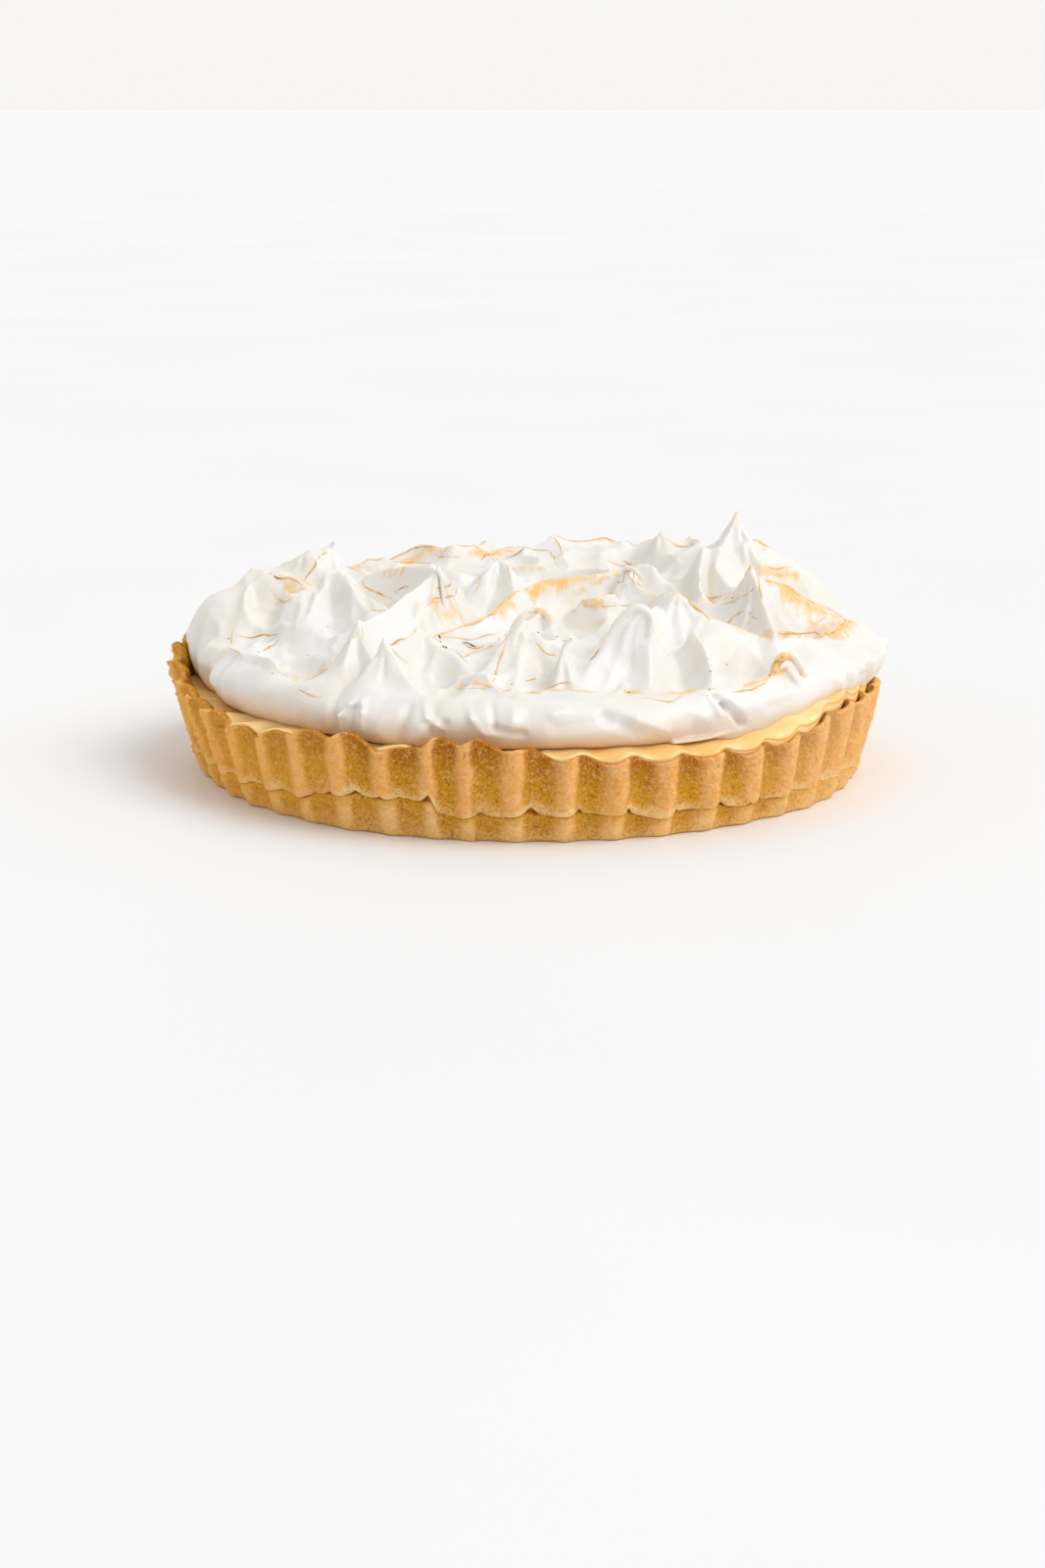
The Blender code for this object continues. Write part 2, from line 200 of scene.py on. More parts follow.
# Golden brushes of the flame, and one of painted shade inside the folded cup, as (line through (x, y) points,
# half-width, strength)
TOAST_AND_CUP_SHADE = (
    (((0, -29), (3, -24), (7, -21), (11.5, -19.5)), 2.1, 0.85),
    (((-12, -46.5), (-9, -42), (-6, -39)), 2.0, 0.75), (((-23, -44), (-18, -41), (-15, -37)), 1.8, 0.7),
    (((15, -20), (21, -17), (27, -14)), 0.5, 0.8), (((18, -27.5), (22, -28.5), (26, -28)), 0.9, 0.75),
    (((88, -17), (95, -14), (101, -12), (108, -9)), 4.0, 0.7),
    (((98, -18), (102, -19), (107, -17)), 3.4, 0.6),
    (((104, -28), (107, -22), (110, -15), (113, -7)), 3.4, 0.75),
    (((84, 18), (90, 21), (97, 24)), 3.0, 0.7), (((79, 50), (84, 55), (88, 55)), 3.4, 0.75),
    (((70, -50), (77, -44), (84, -44), (92, -36)), 2.8, 0.6), (((60, -14), (66, -8), (70, -4)), 3.0, 0.6),
    (((80, -76), (83, -74), (87, -73)), 1.2, 0.6), (((31, -94), (34, -96)), 2.6, 0.75),
    (((42, -98), (50, -94), (57, -91)), 2.2, 0.65), (((-8, -99), (-16, -96), (-22, -91)), 2.2, 0.5),
    # the brush from (-85, -4) to (-82, -7) is painted shade, tinting the shaded inside of the folded cup
    # golden
    (((6, -99), (12, -98)), 2.0, 0.5), (((-85, -4), (-82, -7)), 3.6, 0.6),
    (((-80, -60), (-74, -52)), 3.0, 0.5), (((-72, -48), (-66, -54)), 3.0, 0.45),
    (((-48, 66), (-40, 68), (-32, 66)), 3.4, 0.65), (((-22, 64), (-14, 72), (-8, 82)), 3.0, 0.65),
    (((16, 82), (24, 86), (31, 87)), 3.4, 0.7), (((-33, -42), (-27, -37), (-24, -31)), 2.6, 0.5),
    (((-56, 30), (-50, 12), (-45, 0)), 2.8, 0.5), (((-66, 56), (-60, 50)), 3.2, 0.65),
    (((-52, 96), (-46, 90)), 3.6, 0.65), (((6, 99), (16, 102)), 3.2, 0.65),
    (((52, 92), (62, 86)), 3.8, 0.7), (((98, 54), (102, 44)), 3.4, 0.65), (((-8, 50), (4, 44)), 3.0, 0.55),
    (((36, 26), (30, 34)), 3.0, 0.6),
)
# Ridges, as (line through (x, y, height) points, reach, sharpness, steeper side, toast, toast width).
# A steeper side above 0 makes the left of the line's direction the steep one.
RIDGES = (
    # left mound, with the folded cup at its back edge
    (((-117, -14, 53), (-108, -4, 62), (-98, 4, 67.5), (-88, 2, 67), (-80, -2, 64)), 12, 1.3, 0.0, 0.2,
     1.5), (((-90, 5, 67), (-84, 3, 66), (-78, -3, 63)), 6, 1.6, 0.3, 1.0, 1.6),
    (((-112, -22, 53.5), (-108, -27, 51)), 6, 1.5, 0.0, 0.1, 1.0),
    (((-104, -36, 53.5), (-100, -46, 49), (-92, -56, 47)), 9, 1.7, -0.3, 0.5, 0.9),
    (((-110, -44, 46), (-103, -54, 47), (-91, -62, 49), (-83, -76, 46), (-74, -88, 43), (-63, -92, 45)), 12,
     1.6, -0.3, 0.35, 0.9),
    # tall peak at the back left and its mound
    (((-90, 8, 67), (-83, 11, 71), (-78, 11, 71.5), (-72, 14, 76), (-67, 12, 66)), 13, 1.5, 0.0, 0.3, 1.2),
    (((-69, 0, 67.5), (-64, -8, 65.5), (-56, -20, 62.5), (-50, -24, 61)), 14, 1.7, 0.2, 0.6, 1.0),
    (((-69, 0, 67.5), (-62, -14, 64), (-57, -28, 61), (-51, -40, 59)), 12, 1.7, 0.2, 0.5, 0.9),
    (((-72, 2, 67), (-74, -12, 62), (-78, -26, 57)), 13, 1.6, 0.0, 0.0, 1.0),
    # leaning sail left of the middle
    (((-31, -30, 75), (-36, -36, 72), (-41, -42, 69), (-48, -54, 65), (-56, -66, 61.5), (-62, -78, 53)), 17,
     1.7, 0.25, 0.15, 0.9),
    (((-31, -30, 75), (-33, -38, 68), (-35.5, -46, 61), (-36, -54, 56)), 12, 1.9, 0.45, 0.1, 0.9),
    (((-30, -28, 74.5), (-37, -12, 73), (-44, 2, 71), (-50, 14, 68), (-56, 30, 64)), 14, 1.7, -0.3, 0.5,
     0.9), (((-56, -66, 61.5), (-52, -78, 53), (-46, -88, 47)), 9, 1.7, 0.2, 0.0, 0.9),
    # small peak in front of it
    (((-47, -84, 59.5), (-54, -90, 52), (-60, -95, 46)), 11, 1.7, -0.2, 0.6, 0.7),
    (((-47, -84, 59.5), (-42, -78, 59), (-37, -66, 60)), 8, 1.7, 0.0, 0.7, 0.9),
    (((-47, -84, 59.5), (-41, -92, 50), (-36, -98, 46)), 9, 1.7, 0.2, 0.2, 0.7),
    # long toasted sweep rising to the golden fold in the middle
    (((-31, -60, 57), (-17, -52, 61), (-10, -42, 65), (-5, -35, 67.5), (0, -26, 67)), 15, 1.8, -0.3, 0.8,
     1.4),
    (((0, -25, 67), (4, -22, 69.5), (17, -17, 70), (25, -15, 70.5), (30, -12, 71)), 13, 1.6, -0.45, 0.8,
     1.6), (((18, -26, 64), (24, -26, 65), (30, -24, 65)), 9, 1.8, -0.3, 0.6, 1.4),
    # rounded thumb behind the sweep
    (((-17, 2, 67), (-13, 10, 71.5), (-9, 6, 69), (-6, -6, 64)), 15, 1.5, 0.0, 0.2, 1.2),
    (((-24, -12, 67), (-26, -22, 61)), 8, 1.6, 0.0, 0.1, 1.0),
    # looped curl and hook, front middle
    (((-4, -74, 64.5), (-9, -82, 58), (-14, -90, 51), (-21, -97, 46)), 12, 1.8, -0.3, 0.4, 0.8),
    (((-4, -74, 64), (-4, -84, 56), (-5, -94, 48)), 9, 1.6, 0.0, 0.0, 0.8),
    (((-4, -72, 64), (2, -64, 66.5), (6, -66, 64), (8, -72, 60), (12, -80, 55)), 11, 1.6, 0.3, 0.5, 1.2),
    (((11, -90, 60.5), (8, -96, 50)), 7, 1.9, -0.2, 0.3, 0.7),
    (((11, -90, 60.5), (14, -96, 50), (20, -99, 47)), 7, 1.9, 0.2, 0.3, 0.7),
    # big rounded hook right of the middle
    (((16, -92, 49), (23, -84, 57), (28, -78, 65), (33, -76, 69), (36, -76, 68.5)), 16, 1.7, 0.0, 0.3, 0.9),
    (((34, -76, 69), (38, -80, 63), (38.5, -86, 56), (38.5, -95, 47)), 13, 1.7, 0.45, 0.0, 0.8),
    (((30, -70, 66), (36, -62, 64), (43, -52, 66)), 14, 1.7, 0.0, 0.1, 1.0),
    # toasted arch to its right and the hooked peak behind
    (((40, -44, 64), (44, -44, 68), (49, -46, 70.5), (56, -46, 65.5), (62, -50, 61), (70, -48, 57.5)), 16,
     1.7, 0.2, 0.9, 1.4), (((53, -70, 61.5), (56, -74, 58.5), (59, -82, 51)), 8, 1.8, 0.3, 0.2, 0.8),
    (((24, -12, 66), (29, -12, 66), (33, -14, 71.5), (37, -16, 68), (41, -20, 65.5), (45, -29, 64)), 14,
     1.8, 0.2, 0.9, 1.2),
    # draped peak on the right, with its toasted crests
    (((78, -24, 72.5), (86, -17, 68.5), (99, -9, 61), (112, -6, 53.5)), 18, 1.6, -0.2, 1.0, 2.4),
    (((78, -24, 72.5), (72, -22, 65), (66, -20, 61), (60, -18, 60)), 14, 1.8, -0.2, 0.9, 1.2),
    (((78, -24, 72.5), (81, -34, 63), (83, -45, 56)), 12, 1.7, 0.0, 0.1, 0.9),
    (((70, -44, 57.5), (76, -47, 55.5), (83, -50, 55), (92, -44, 55), (100, -34, 52.5), (111, -8, 53)), 13,
     1.6, 0.25, 1.0, 1.8), (((112, -6, 53.5), (118, -2, 50), (122, 4, 46)), 10, 1.5, 0.0, 0.5, 1.6),
    (((92, -44, 54), (97, -52, 49), (101, -58, 43)), 9, 1.6, 0.0, 0.0, 0.9),
    # tallest peak, its neighbours and the back right
    (((50, 62, 73.5), (58, 60, 68.5), (64, 48, 70), (70, 40, 76), (74, 34, 82.5)), 15, 1.8, 0.0, 0.5, 1.3),
    (((74, 34, 82.5), (78, 42, 77), (81, 48, 74), (86, 56, 74.5), (92, 48, 70), (95, 36, 67),
     (101, 14, 60)), 17, 1.7, 0.0, 0.8, 2.0),
    (((74, 34, 82), (70, 24, 75), (68, 12, 68), (75, -4, 61)), 14, 1.8, 0.0, 0.1, 1.0),
    (((63, 20, 73.5), (69, 20, 73.5)), 14, 1.6, 0.0, 0.1, 1.0),
    (((63, 20, 73), (61, 6, 67), (60, -8, 63)), 10, 1.7, 0.0, 0.3, 0.9),
    (((40, 24, 67.5), (45, 22, 67.5)), 10, 1.7, 0.0, 0.1, 0.9),
    (((33, 84, 66.5), (42, 76, 67), (50, 62, 73.5)), 15, 1.8, 0.0, 0.7, 1.4),
    # back ridge, seen over the middle
    (((8, 76, 66), (22, 84, 67), (29, 88, 68), (34, 86, 66)), 16, 1.6, 0.3, 0.8, 2.2),
    (((8, 76, 66), (9, 66, 64), (10, 56, 60)), 10, 1.7, 0.0, 0.6, 1.0),
    (((-14, 84, 61.5), (-9, 86, 64.5), (1, 86, 64.5), (8, 78, 66)), 15, 1.7, 0.2, 0.8, 1.6),
    (((-58, 62, 59.5), (-47, 72, 63), (-34, 80, 64), (-18, 84, 62)), 16, 1.7, 0.2, 0.9, 1.6),
    (((-34, 60, 62), (-22, 66, 63), (-10, 66, 61)), 14, 1.8, 0.0, 0.7, 1.2),
    # crest along the top of the front billows
    (((-112, -38, 53), (-105, -38, 53), (-99, -44, 51.5), (-92, -53, 50.5), (-86, -63, 52), (-83, -68, 47),
     (-76, -77, 45.5), (-65, -87, 44), (-54, -93, 44), (-45, -98, 46)), 7, 1.5, -0.3, 0.5, 0.9),
    (((-45, -98, 46), (-36, -102, 46.5), (-26, -104, 46.5), (-16, -105, 46), (-8, -106, 46)), 6, 1.5, -0.3,
     0.3, 0.9),
    (((-8, -106, 46), (-3, -103, 47.5), (6, -102, 48.5), (16, -103, 49), (26, -103, 47.5), (35, -102, 46.5),
     (41, -101, 45)), 7, 1.5, -0.3, 0.7, 1.0),
    (((42, -100, 45), (50, -97, 46), (56, -94, 48.5), (66, -89, 48.5), (75, -82, 49), (82, -75, 50.5),
     (86, -68, 51)), 8, 1.5, -0.3, 0.9, 1.5),
    (((86, -68, 51), (93, -66, 48), (99, -61, 47)), 7, 1.6, 0.0, 0.3, 0.9),
    # unseen back, in the same manner
    (((-88, 46, 61), (-80, 52, 64), (-68, 52, 62), (-60, 44, 60)), 15, 1.7, 0.2, 0.8, 1.6),
    (((-100, 24, 60), (-96, 34, 62), (-88, 46, 61)), 14, 1.7, 0.0, 0.6, 1.2),
    (((-78, 76, 54), (-66, 78, 58), (-56, 84, 57), (-48, 96, 55)), 13, 1.7, 0.2, 0.9, 1.6),
    (((-40, 100, 52), (-28, 98, 57), (-14, 102, 58), (-2, 98, 60), (8, 102, 54)), 13, 1.7, 0.0, 0.8, 1.6),
    (((18, 104, 53), (30, 104, 58), (44, 100, 60), (58, 88, 66), (66, 84, 60)), 14, 1.7, 0.2, 0.9, 1.8),
    (((80, 74, 62), (90, 66, 64), (98, 52, 62), (104, 36, 57)), 13, 1.7, 0.0, 0.7, 1.6),
    (((30, 24, 66), (22, 36, 64), (10, 40, 62), (-2, 48, 63)), 14, 1.8, 0.0, 0.6, 1.2),
    (((-36, 34, 65), (-26, 28, 64), (-14, 32, 61)), 13, 1.8, 0.0, 0.5, 1.2),
    (((-40, 44, 62), (-36, 34, 65), (-44, 24, 62)), 12, 1.8, 0.0, 0.4, 1.2),
)
# Tips that lean over, as (x, y, height where the lean starts, height of the tip, reach, lean in x, lean in y,
# droop, pleats)
LEANS = (
    (-31, -30, 62, 75, 13, -0.5, -1.0, 2.0, 7), (34, -76, 58, 69, 14, 4.0, -1.5, 1.2, 8),
    (33, -14, 66, 71.5, 8, 1.8, -0.5, 0.8, 7), (49, -46, 62, 70.5, 12, 1.6, -1.0, 0.5, 8),
    (78, -24, 62, 72.5, 20, -2.0, -2.0, 0.6, 11), (-72, 14, 69, 76, 10, -1.5, 0.0, 0.4, 7),
    (2, -64, 59, 66.5, 10, 2.2, -2.5, 1.0, 6), (-4, -74, 57, 64.5, 12, 1.4, -1.5, 0.8, 9),
    (11, -90, 53, 60.5, 7, 1.2, -0.6, 0.5, 5), (50, 62, 67, 73.5, 11, -1.5, 0.0, 0.3, 8),
    (74, 34, 72, 82.5, 20, 1.0, -0.5, 0.0, 12), (-47, -84, 52, 59.5, 10, -0.8, -1.0, 0.3, 8),
    (-13, 10, 62, 71.5, 15, 0.5, -1.0, 0.0, 9), (-80, 11, 62, 71, 13, 0.0, -1.0, 0.0, 8),
)
# Curls that stand free of the surface, as (points, thickness at the start and at the tip, flatness)
CURLS = (
    (((-75, 14, 70), (-73, 14, 73.5), (-71, 13.5, 76), (-69.5, 13, 77.5)), 1.6, 0.6, 1.0),
    (((-6, -70, 58), (-4, -68, 62.5), (0, -66, 65.5), (3.5, -66, 66), (6.5, -67, 64.2), (7, -69, 61.5),
     (5, -70.5, 59.6), (3, -71, 60)), 1.9, 0.7, 0.8),
    (((28, -78, 62), (31, -77, 66), (34.5, -77, 69), (38, -78, 68.3), (40, -79, 65.5), (39.6, -80, 62.5),
     (38, -80.5, 61)), 2.8, 0.8, 0.8),
    (((32, -14, 68), (33, -14.5, 71), (35, -15.5, 72), (37.5, -17, 70.5), (38.5, -18.5, 68)), 1.3, 0.7,
     1.0), (((10.5, -90, 56), (11.5, -90.5, 59.5), (13, -91, 61), (15, -91.5, 60.4)), 1.2, 0.5, 1.0),
    (((80.5, -75, 47), (81.5, -74, 50), (84, -73, 52), (87, -72.5, 51.6), (89.6, -73.5, 48.2),
     (91, -75, 45)), 1.8, 1.5, 0.8),
)
# Toasted lines along the crests, as (points near the surface, half-width, how brown)
TOAST_LINES = (
    (((-103, -22, 50), (-100, -22, 49), (-97, -22, 49), (-93, -23, 50), (-90, -24, 50), (-87, -26, 51)),
     0.42, 0.55), (((-92, -38, 47), (-89, -32, 48), (-87, -29, 50)), 0.45, 0.6),
    (((-104, -38, 50), (-101, -44, 49), (-98, -49, 47)), 0.35, 0.35),
    (((-86, -64, 49), (-85, -66, 47), (-82, -67, 45), (-81, -62, 43)), 0.4, 0.4),
    (((-59, -25, 62), (-56, -26, 60), (-54, -27, 59), (-49, -27, 59)), 0.4, 0.55),
    (((-61, 27, 60), (-58, 18, 58), (-54, 8, 59), (-50, -3, 59), (-47, -9, 59)), 0.45, 0.4),
    (((-46, -6, 62), (-43, -9, 64), (-42, -12, 64)), 0.38, 0.8),
    (((-76, -83, 43), (-72, -87, 42), (-68, -90, 42)), 0.35, 0.2),
    (((-77, -51, 39), (-74, -50, 40), (-71, -50, 42), (-68, -52, 44), (-65, -55, 46)), 0.3, 0.25),
    (((-61, -90, 45), (-58, -87, 46), (-56, -83, 47), (-53, -82, 48), (-51, -82, 51), (-49, -81, 54),
     (-48, -82, 56)), 0.35, 0.4),
    (((-48, -66, 56), (-45, -64, 57), (-42, -60, 57), (-40, -58, 57)), 0.45, 0.5),
    (((-46, -83, 58), (-44, -83, 56), (-42, -82, 53), (-40, -81, 51)), 0.35, 0.2),
    (((-62, -67, 51), (-61, -67, 54), (-59, -70, 57), (-57, -68, 60), (-56, -66, 61)), 0.3, 0.15),
    (((-56, -66, 61), (-55, -69, 58), (-54, -70, 55)), 0.3, 0.1),
    (((-93, 2, 67), (-89, -1, 66), (-85, -1, 66), (-82, -3, 65), (-80, -5, 64)), 0.5, 0.55),
    (((-92, -4, 63), (-89, -5, 60), (-86, -13, 60), (-82, -12, 62)), 0.45, 0.3),
    (((-78, 4, 73), (-76, 3, 71), (-78, 1, 68), (-80, -2, 66)), 0.45, 0.6),
    (((-76, 4, 72), (-74, 8, 73), (-73, 11, 74)), 0.35, 0.5),
    (((-32, -56, 56), (-28, -56, 57), (-24, -55, 58), (-21, -54, 59), (-18, -53, 60), (-15, -50, 61),
     (-12, -46, 62), (-10, -42, 64), (-7, -38, 66), (-5, -35, 67), (-2, -30, 67)), 0.5, 0.45),
    (((-33, -60, 56), (-30, -60, 56), (-26, -60, 56), (-23, -59, 55), (-19, -59, 55), (-16, -57, 56),
     (-12, -53, 56), (-10, -50, 56)), 0.38, 0.35),
    (((-24, -79, 52), (-21, -73, 52), (-18, -67, 52), (-15, -65, 53), (-12, -63, 54), (-10, -55, 55),
     (-7, -48, 56)), 0.35, 0.3),
    (((-23, -61, 54), (-20, -62, 53), (-16, -63, 53), (-12, -64, 54)), 0.45, 0.7),
    (((-25, -70, 53), (-22, -78, 52), (-20, -81, 51)), 0.3, 0.5),
    (((-15, -97, 47), (-12, -95, 48), (-11, -90, 50), (-10, -87, 53), (-9, -85, 56), (-8, -82, 58),
     (-7, -76, 61)), 0.35, 0.35),
    (((-6, -70, 61), (-4, -69, 64), (-2, -67, 65), (2, -67, 66), (4, -67, 65), (6, -68, 63)), 0.4, 0.3),
    (((2, -80, 58), (4, -81, 56), (6, -81, 54), (9, -81, 54)), 0.35, 0.3),
    (((10, -65, 56), (14, -63, 56)), 0.4, 0.9), (((19, -86, 53), (22, -84, 55), (23, -83, 57)), 0.42, 0.6),
    (((-27, -85, 44), (-24, -90, 45), (-21, -96, 46), (-17, -97, 46), (-14, -98, 46)), 0.35, 0.35),
    (((-22, -91, 46), (-19, -95, 47), (-16, -96, 47), (-12, -99, 47), (-9, -98, 46), (-6, -96, 46)), 0.38,
     0.4), (((-2, -91, 47), (2, -88, 48)), 0.45, 0.6), (((0, -103, 46), (4, -103, 46)), 0.5, 0.3),
    (((4, -92, 44), (7, -97, 47), (11, -96, 48), (13, -97, 48)), 0.4, 0.5),
    (((35, -103, 44), (38, -102, 44), (42, -102, 43), (45, -102, 43), (48, -99, 43), (51, -92, 44),
     (54, -92, 45), (58, -92, 45), (61, -92, 45)), 0.4, 0.35),
    (((65, -91, 44), (68, -90, 44), (71, -88, 44), (74, -85, 44), (78, -80, 45)), 0.42, 0.35),
    (((79, -77, 46), (80, -76, 50), (82, -75, 51), (86, -74, 51)), 0.5, 0.45),
    (((61, -26, 54), (65, -27, 54), (68, -29, 55), (70, -28, 57), (73, -29, 59), (75, -31, 59),
     (77, -32, 59)), 0.55, 0.45),
    (((47, -45, 67), (49, -46, 69), (51, -47, 68), (54, -47, 66), (56, -48, 64), (59, -50, 62),
     (61, -52, 60)), 0.5, 0.35), (((32, -16, 67), (33, -16, 71), (36, -16, 71), (36, -16, 68)), 0.5, 0.55),
    (((38, 20, 63), (40, 18, 60), (43, 16, 58), (46, 15, 57)), 0.35, 0.2),
    (((17, -27, 61), (20, -28, 61), (23, -29, 61), (27, -28, 61), (30, -26, 61), (34, -22, 60),
     (37, -24, 61)), 0.3, 0.3), (((78, -26, 72), (79, -27, 70), (79, -29, 67), (80, -32, 64)), 0.45, 0.4),
    (((78, -28, 69), (76, -28, 66), (74, -26, 64), (71, -24, 62), (68, -22, 61), (65, -20, 60)), 0.38,
     0.35), (((63, 4, 59), (67, 2, 59), (70, -2, 61)), 0.5, 0.3),
    (((72, -32, 54), (84, -29, 55), (86, -29, 52), (89, -25, 51), (92, -22, 50), (96, -20, 50),
     (100, -20, 50), (101, -24, 50)), 0.5, 0.35),
    (((102, -29, 51), (106, -22, 51), (109, -16, 52), (112, -5, 52)), 0.5, 0.4),
    (((87, -30, 50), (88, -26, 50), (92, -23, 50)), 0.4, 0.25),
    (((88, -16, 67), (91, -15, 65), (94, -13, 62), (97, -11, 60), (102, -9, 58)), 0.45, 0.35),
    (((89, -17, 65), (92, -16, 63), (95, -15, 60)), 0.5, 0.2),
    (((103, 9, 55), (106, 9, 54), (109, 6, 53), (111, -6, 52), (112, -8, 52)), 0.5, 0.45),
    (((104, -16, 53), (107, -17, 52), (110, -20, 50), (111, -23, 49)), 0.4, 0.25),
    (((97, -18, 54), (100, -17, 53), (104, -13, 55)), 0.35, 0.3),
    (((76, -32, 58), (78, -35, 58)), 0.35, 0.5),
    (((84, 19, 68), (88, 22, 66), (91, 23, 66), (96, 28, 66)), 0.6, 0.3),
    (((82, 52, 72), (85, 54, 71), (89, 52, 69)), 0.6, 0.3),
    (((-69, 63, 60), (-66, 64, 60), (-62, 67, 62), (-58, 66, 62), (-54, 65, 63)), 0.4, 0.35),
    (((-54, 69, 62), (-50, 72, 63), (-46, 73, 64), (-42, 71, 66), (-38, 68, 67), (-34, 67, 67)), 0.45, 0.5),
    (((-57, 65, 62), (-52, 66, 61), (-48, 66, 61), (-44, 66, 61), (-40, 64, 61), (-37, 62, 62)), 0.45, 0.5),
    (((-37, 66, 64), (-33, 62, 64), (-29, 60, 64), (-26, 61, 64)), 0.4, 0.5),
    (((-19, 62, 62), (-16, 68, 64), (-12, 75, 64)), 0.5, 0.6),
    (((-13, 70, 62), (-6, 71, 63), (-3, 70, 65), (-1, 70, 66), (3, 70, 65), (7, 69, 65)), 0.5, 0.5),
    (((7, 69, 65), (9, 60, 64), (10, 50, 62)), 0.4, 0.3),
    (((23, 83, 67), (27, 87, 67), (31, 87, 66)), 0.5, 0.4), (((35, 64, 62), (38, 61, 61)), 0.5, 0.6),
    (((28, 60, 63), (32, 62, 61), (36, 62, 60)), 0.35, 0.4),
    (((50, 59, 72), (52, 58, 70), (56, 57, 69), (60, 57, 69), (61, 53, 70)), 0.4, 0.3),
    (((-34, -43, 66), (-30, -39, 66), (-27, -36, 66), (-24, -31, 66)), 0.4, 0.5),
    (((-31, -38, 69), (-28, -34, 69), (-26, -27, 69)), 0.38, 0.6),
    (((-35, -45, 65), (-32, -41, 65), (-28, -39, 65)), 0.35, 0.4),
    (((-32, -54, 57), (-30, -61, 56)), 0.4, 0.9), (((-20, -3, 61), (-18, 1, 64), (-18, 6, 66)), 0.35, 0.3),
    (((-10, 9, 71), (-8, 6, 69), (-7, -1, 65)), 0.3, 0.2),
    (((-104, -19, 52), (-104, -23, 49), (-104, -26, 48)), 0.3, 0.4),
)
# Toasted lines are also laid along the ridges of the back (y above BACK_FROM) that are toasted this much
LINE_TOAST = 0.6
BACK_FROM = 40.0
LINE_SIDES = 6
# Burnt specks, as (x, y, z, size)
BURNT = (
    (3, -72, 60, 0.6), (31, -16, 67, 0.5), (-29, -68, 54, 0.8), (-30, -30, 74, 0.4), (59, -78, 52, 0.4),
    (59, -80, 50, 0.35), (59, -82, 49, 0.5), (79, -77, 47, 0.6), (32, -94, 44, 0.6), (-105, -23, 49, 0.6),
    (-70, -28, 54, 0.4), (-38, -54, 59, 0.5), (2, -67, 66, 0.4), (9, -75, 59, 0.4), (46, -74, 53, 0.4),
    (15, -27, 59, 0.4), (38, -24, 61, 0.45), (-6, -94, 47, 0.4), (-86, -68, 46, 0.4), (66, -61, 47, 0.45),
    (70, -23, 63, 0.5), (58, -93, 45, 0.6), (-93, -39, 47, 0.45), (-30, -63, 55, 0.6), (-28, -68, 54, 0.7),
    (-47, -66, 56, 0.5), (-76, -42, 46, 0.4), (-46, -6, 61, 0.5), (-40, 60, 60, 0.5), (-14, 62, 62, 0.4),
    (20, 70, 64, 0.4), (70, 70, 64, 0.5), (-70, 70, 58, 0.4), (34, 96, 56, 0.5), (-10, 88, 60, 0.4),
)
# Burnt stretches of line, in the manner of TOAST_LINES
BURNT_LINES = (
    (((-23, -61, 54), (-22, -60.5, 54.5), (-21, -61, 54), (-18, -62, 53)), 0.42, 0.95),
    (((-32, -55, 57), (-31, -58, 57), (-30, -61, 56)), 0.35, 1.0),
    (((-46, -6, 62), (-44, -8, 63)), 0.35, 1.0), (((12, -91, 61), (14, -91, 61)), 0.3, 1.0),
    (((-25, -55, 58), (-23, -54, 59)), 0.35, 0.8),
)
# Thread drawn off the tip of the sail, hanging free, in the manner of CURLS
DRIP = (
    ((-34, -31, 71), (-32, -32.5, 73.3), (-30.6, -34.5, 72.4), (-30, -36, 68), (-29.8, -37, 63),
     (-29.5, -38, 57.5)), 0.9, 0.45, 1.0,
)
# Smear of meringue left on the curd, in the same manner
SMEAR = (
    ((45, -104, 29.8), (57, -99.5, 30.5), (69, -92, 32.2), (81, -81, 34.4), (91, -69, 35.8),
     (99, -57, 36.5)), 2.4, 1.6, 0.3,
)
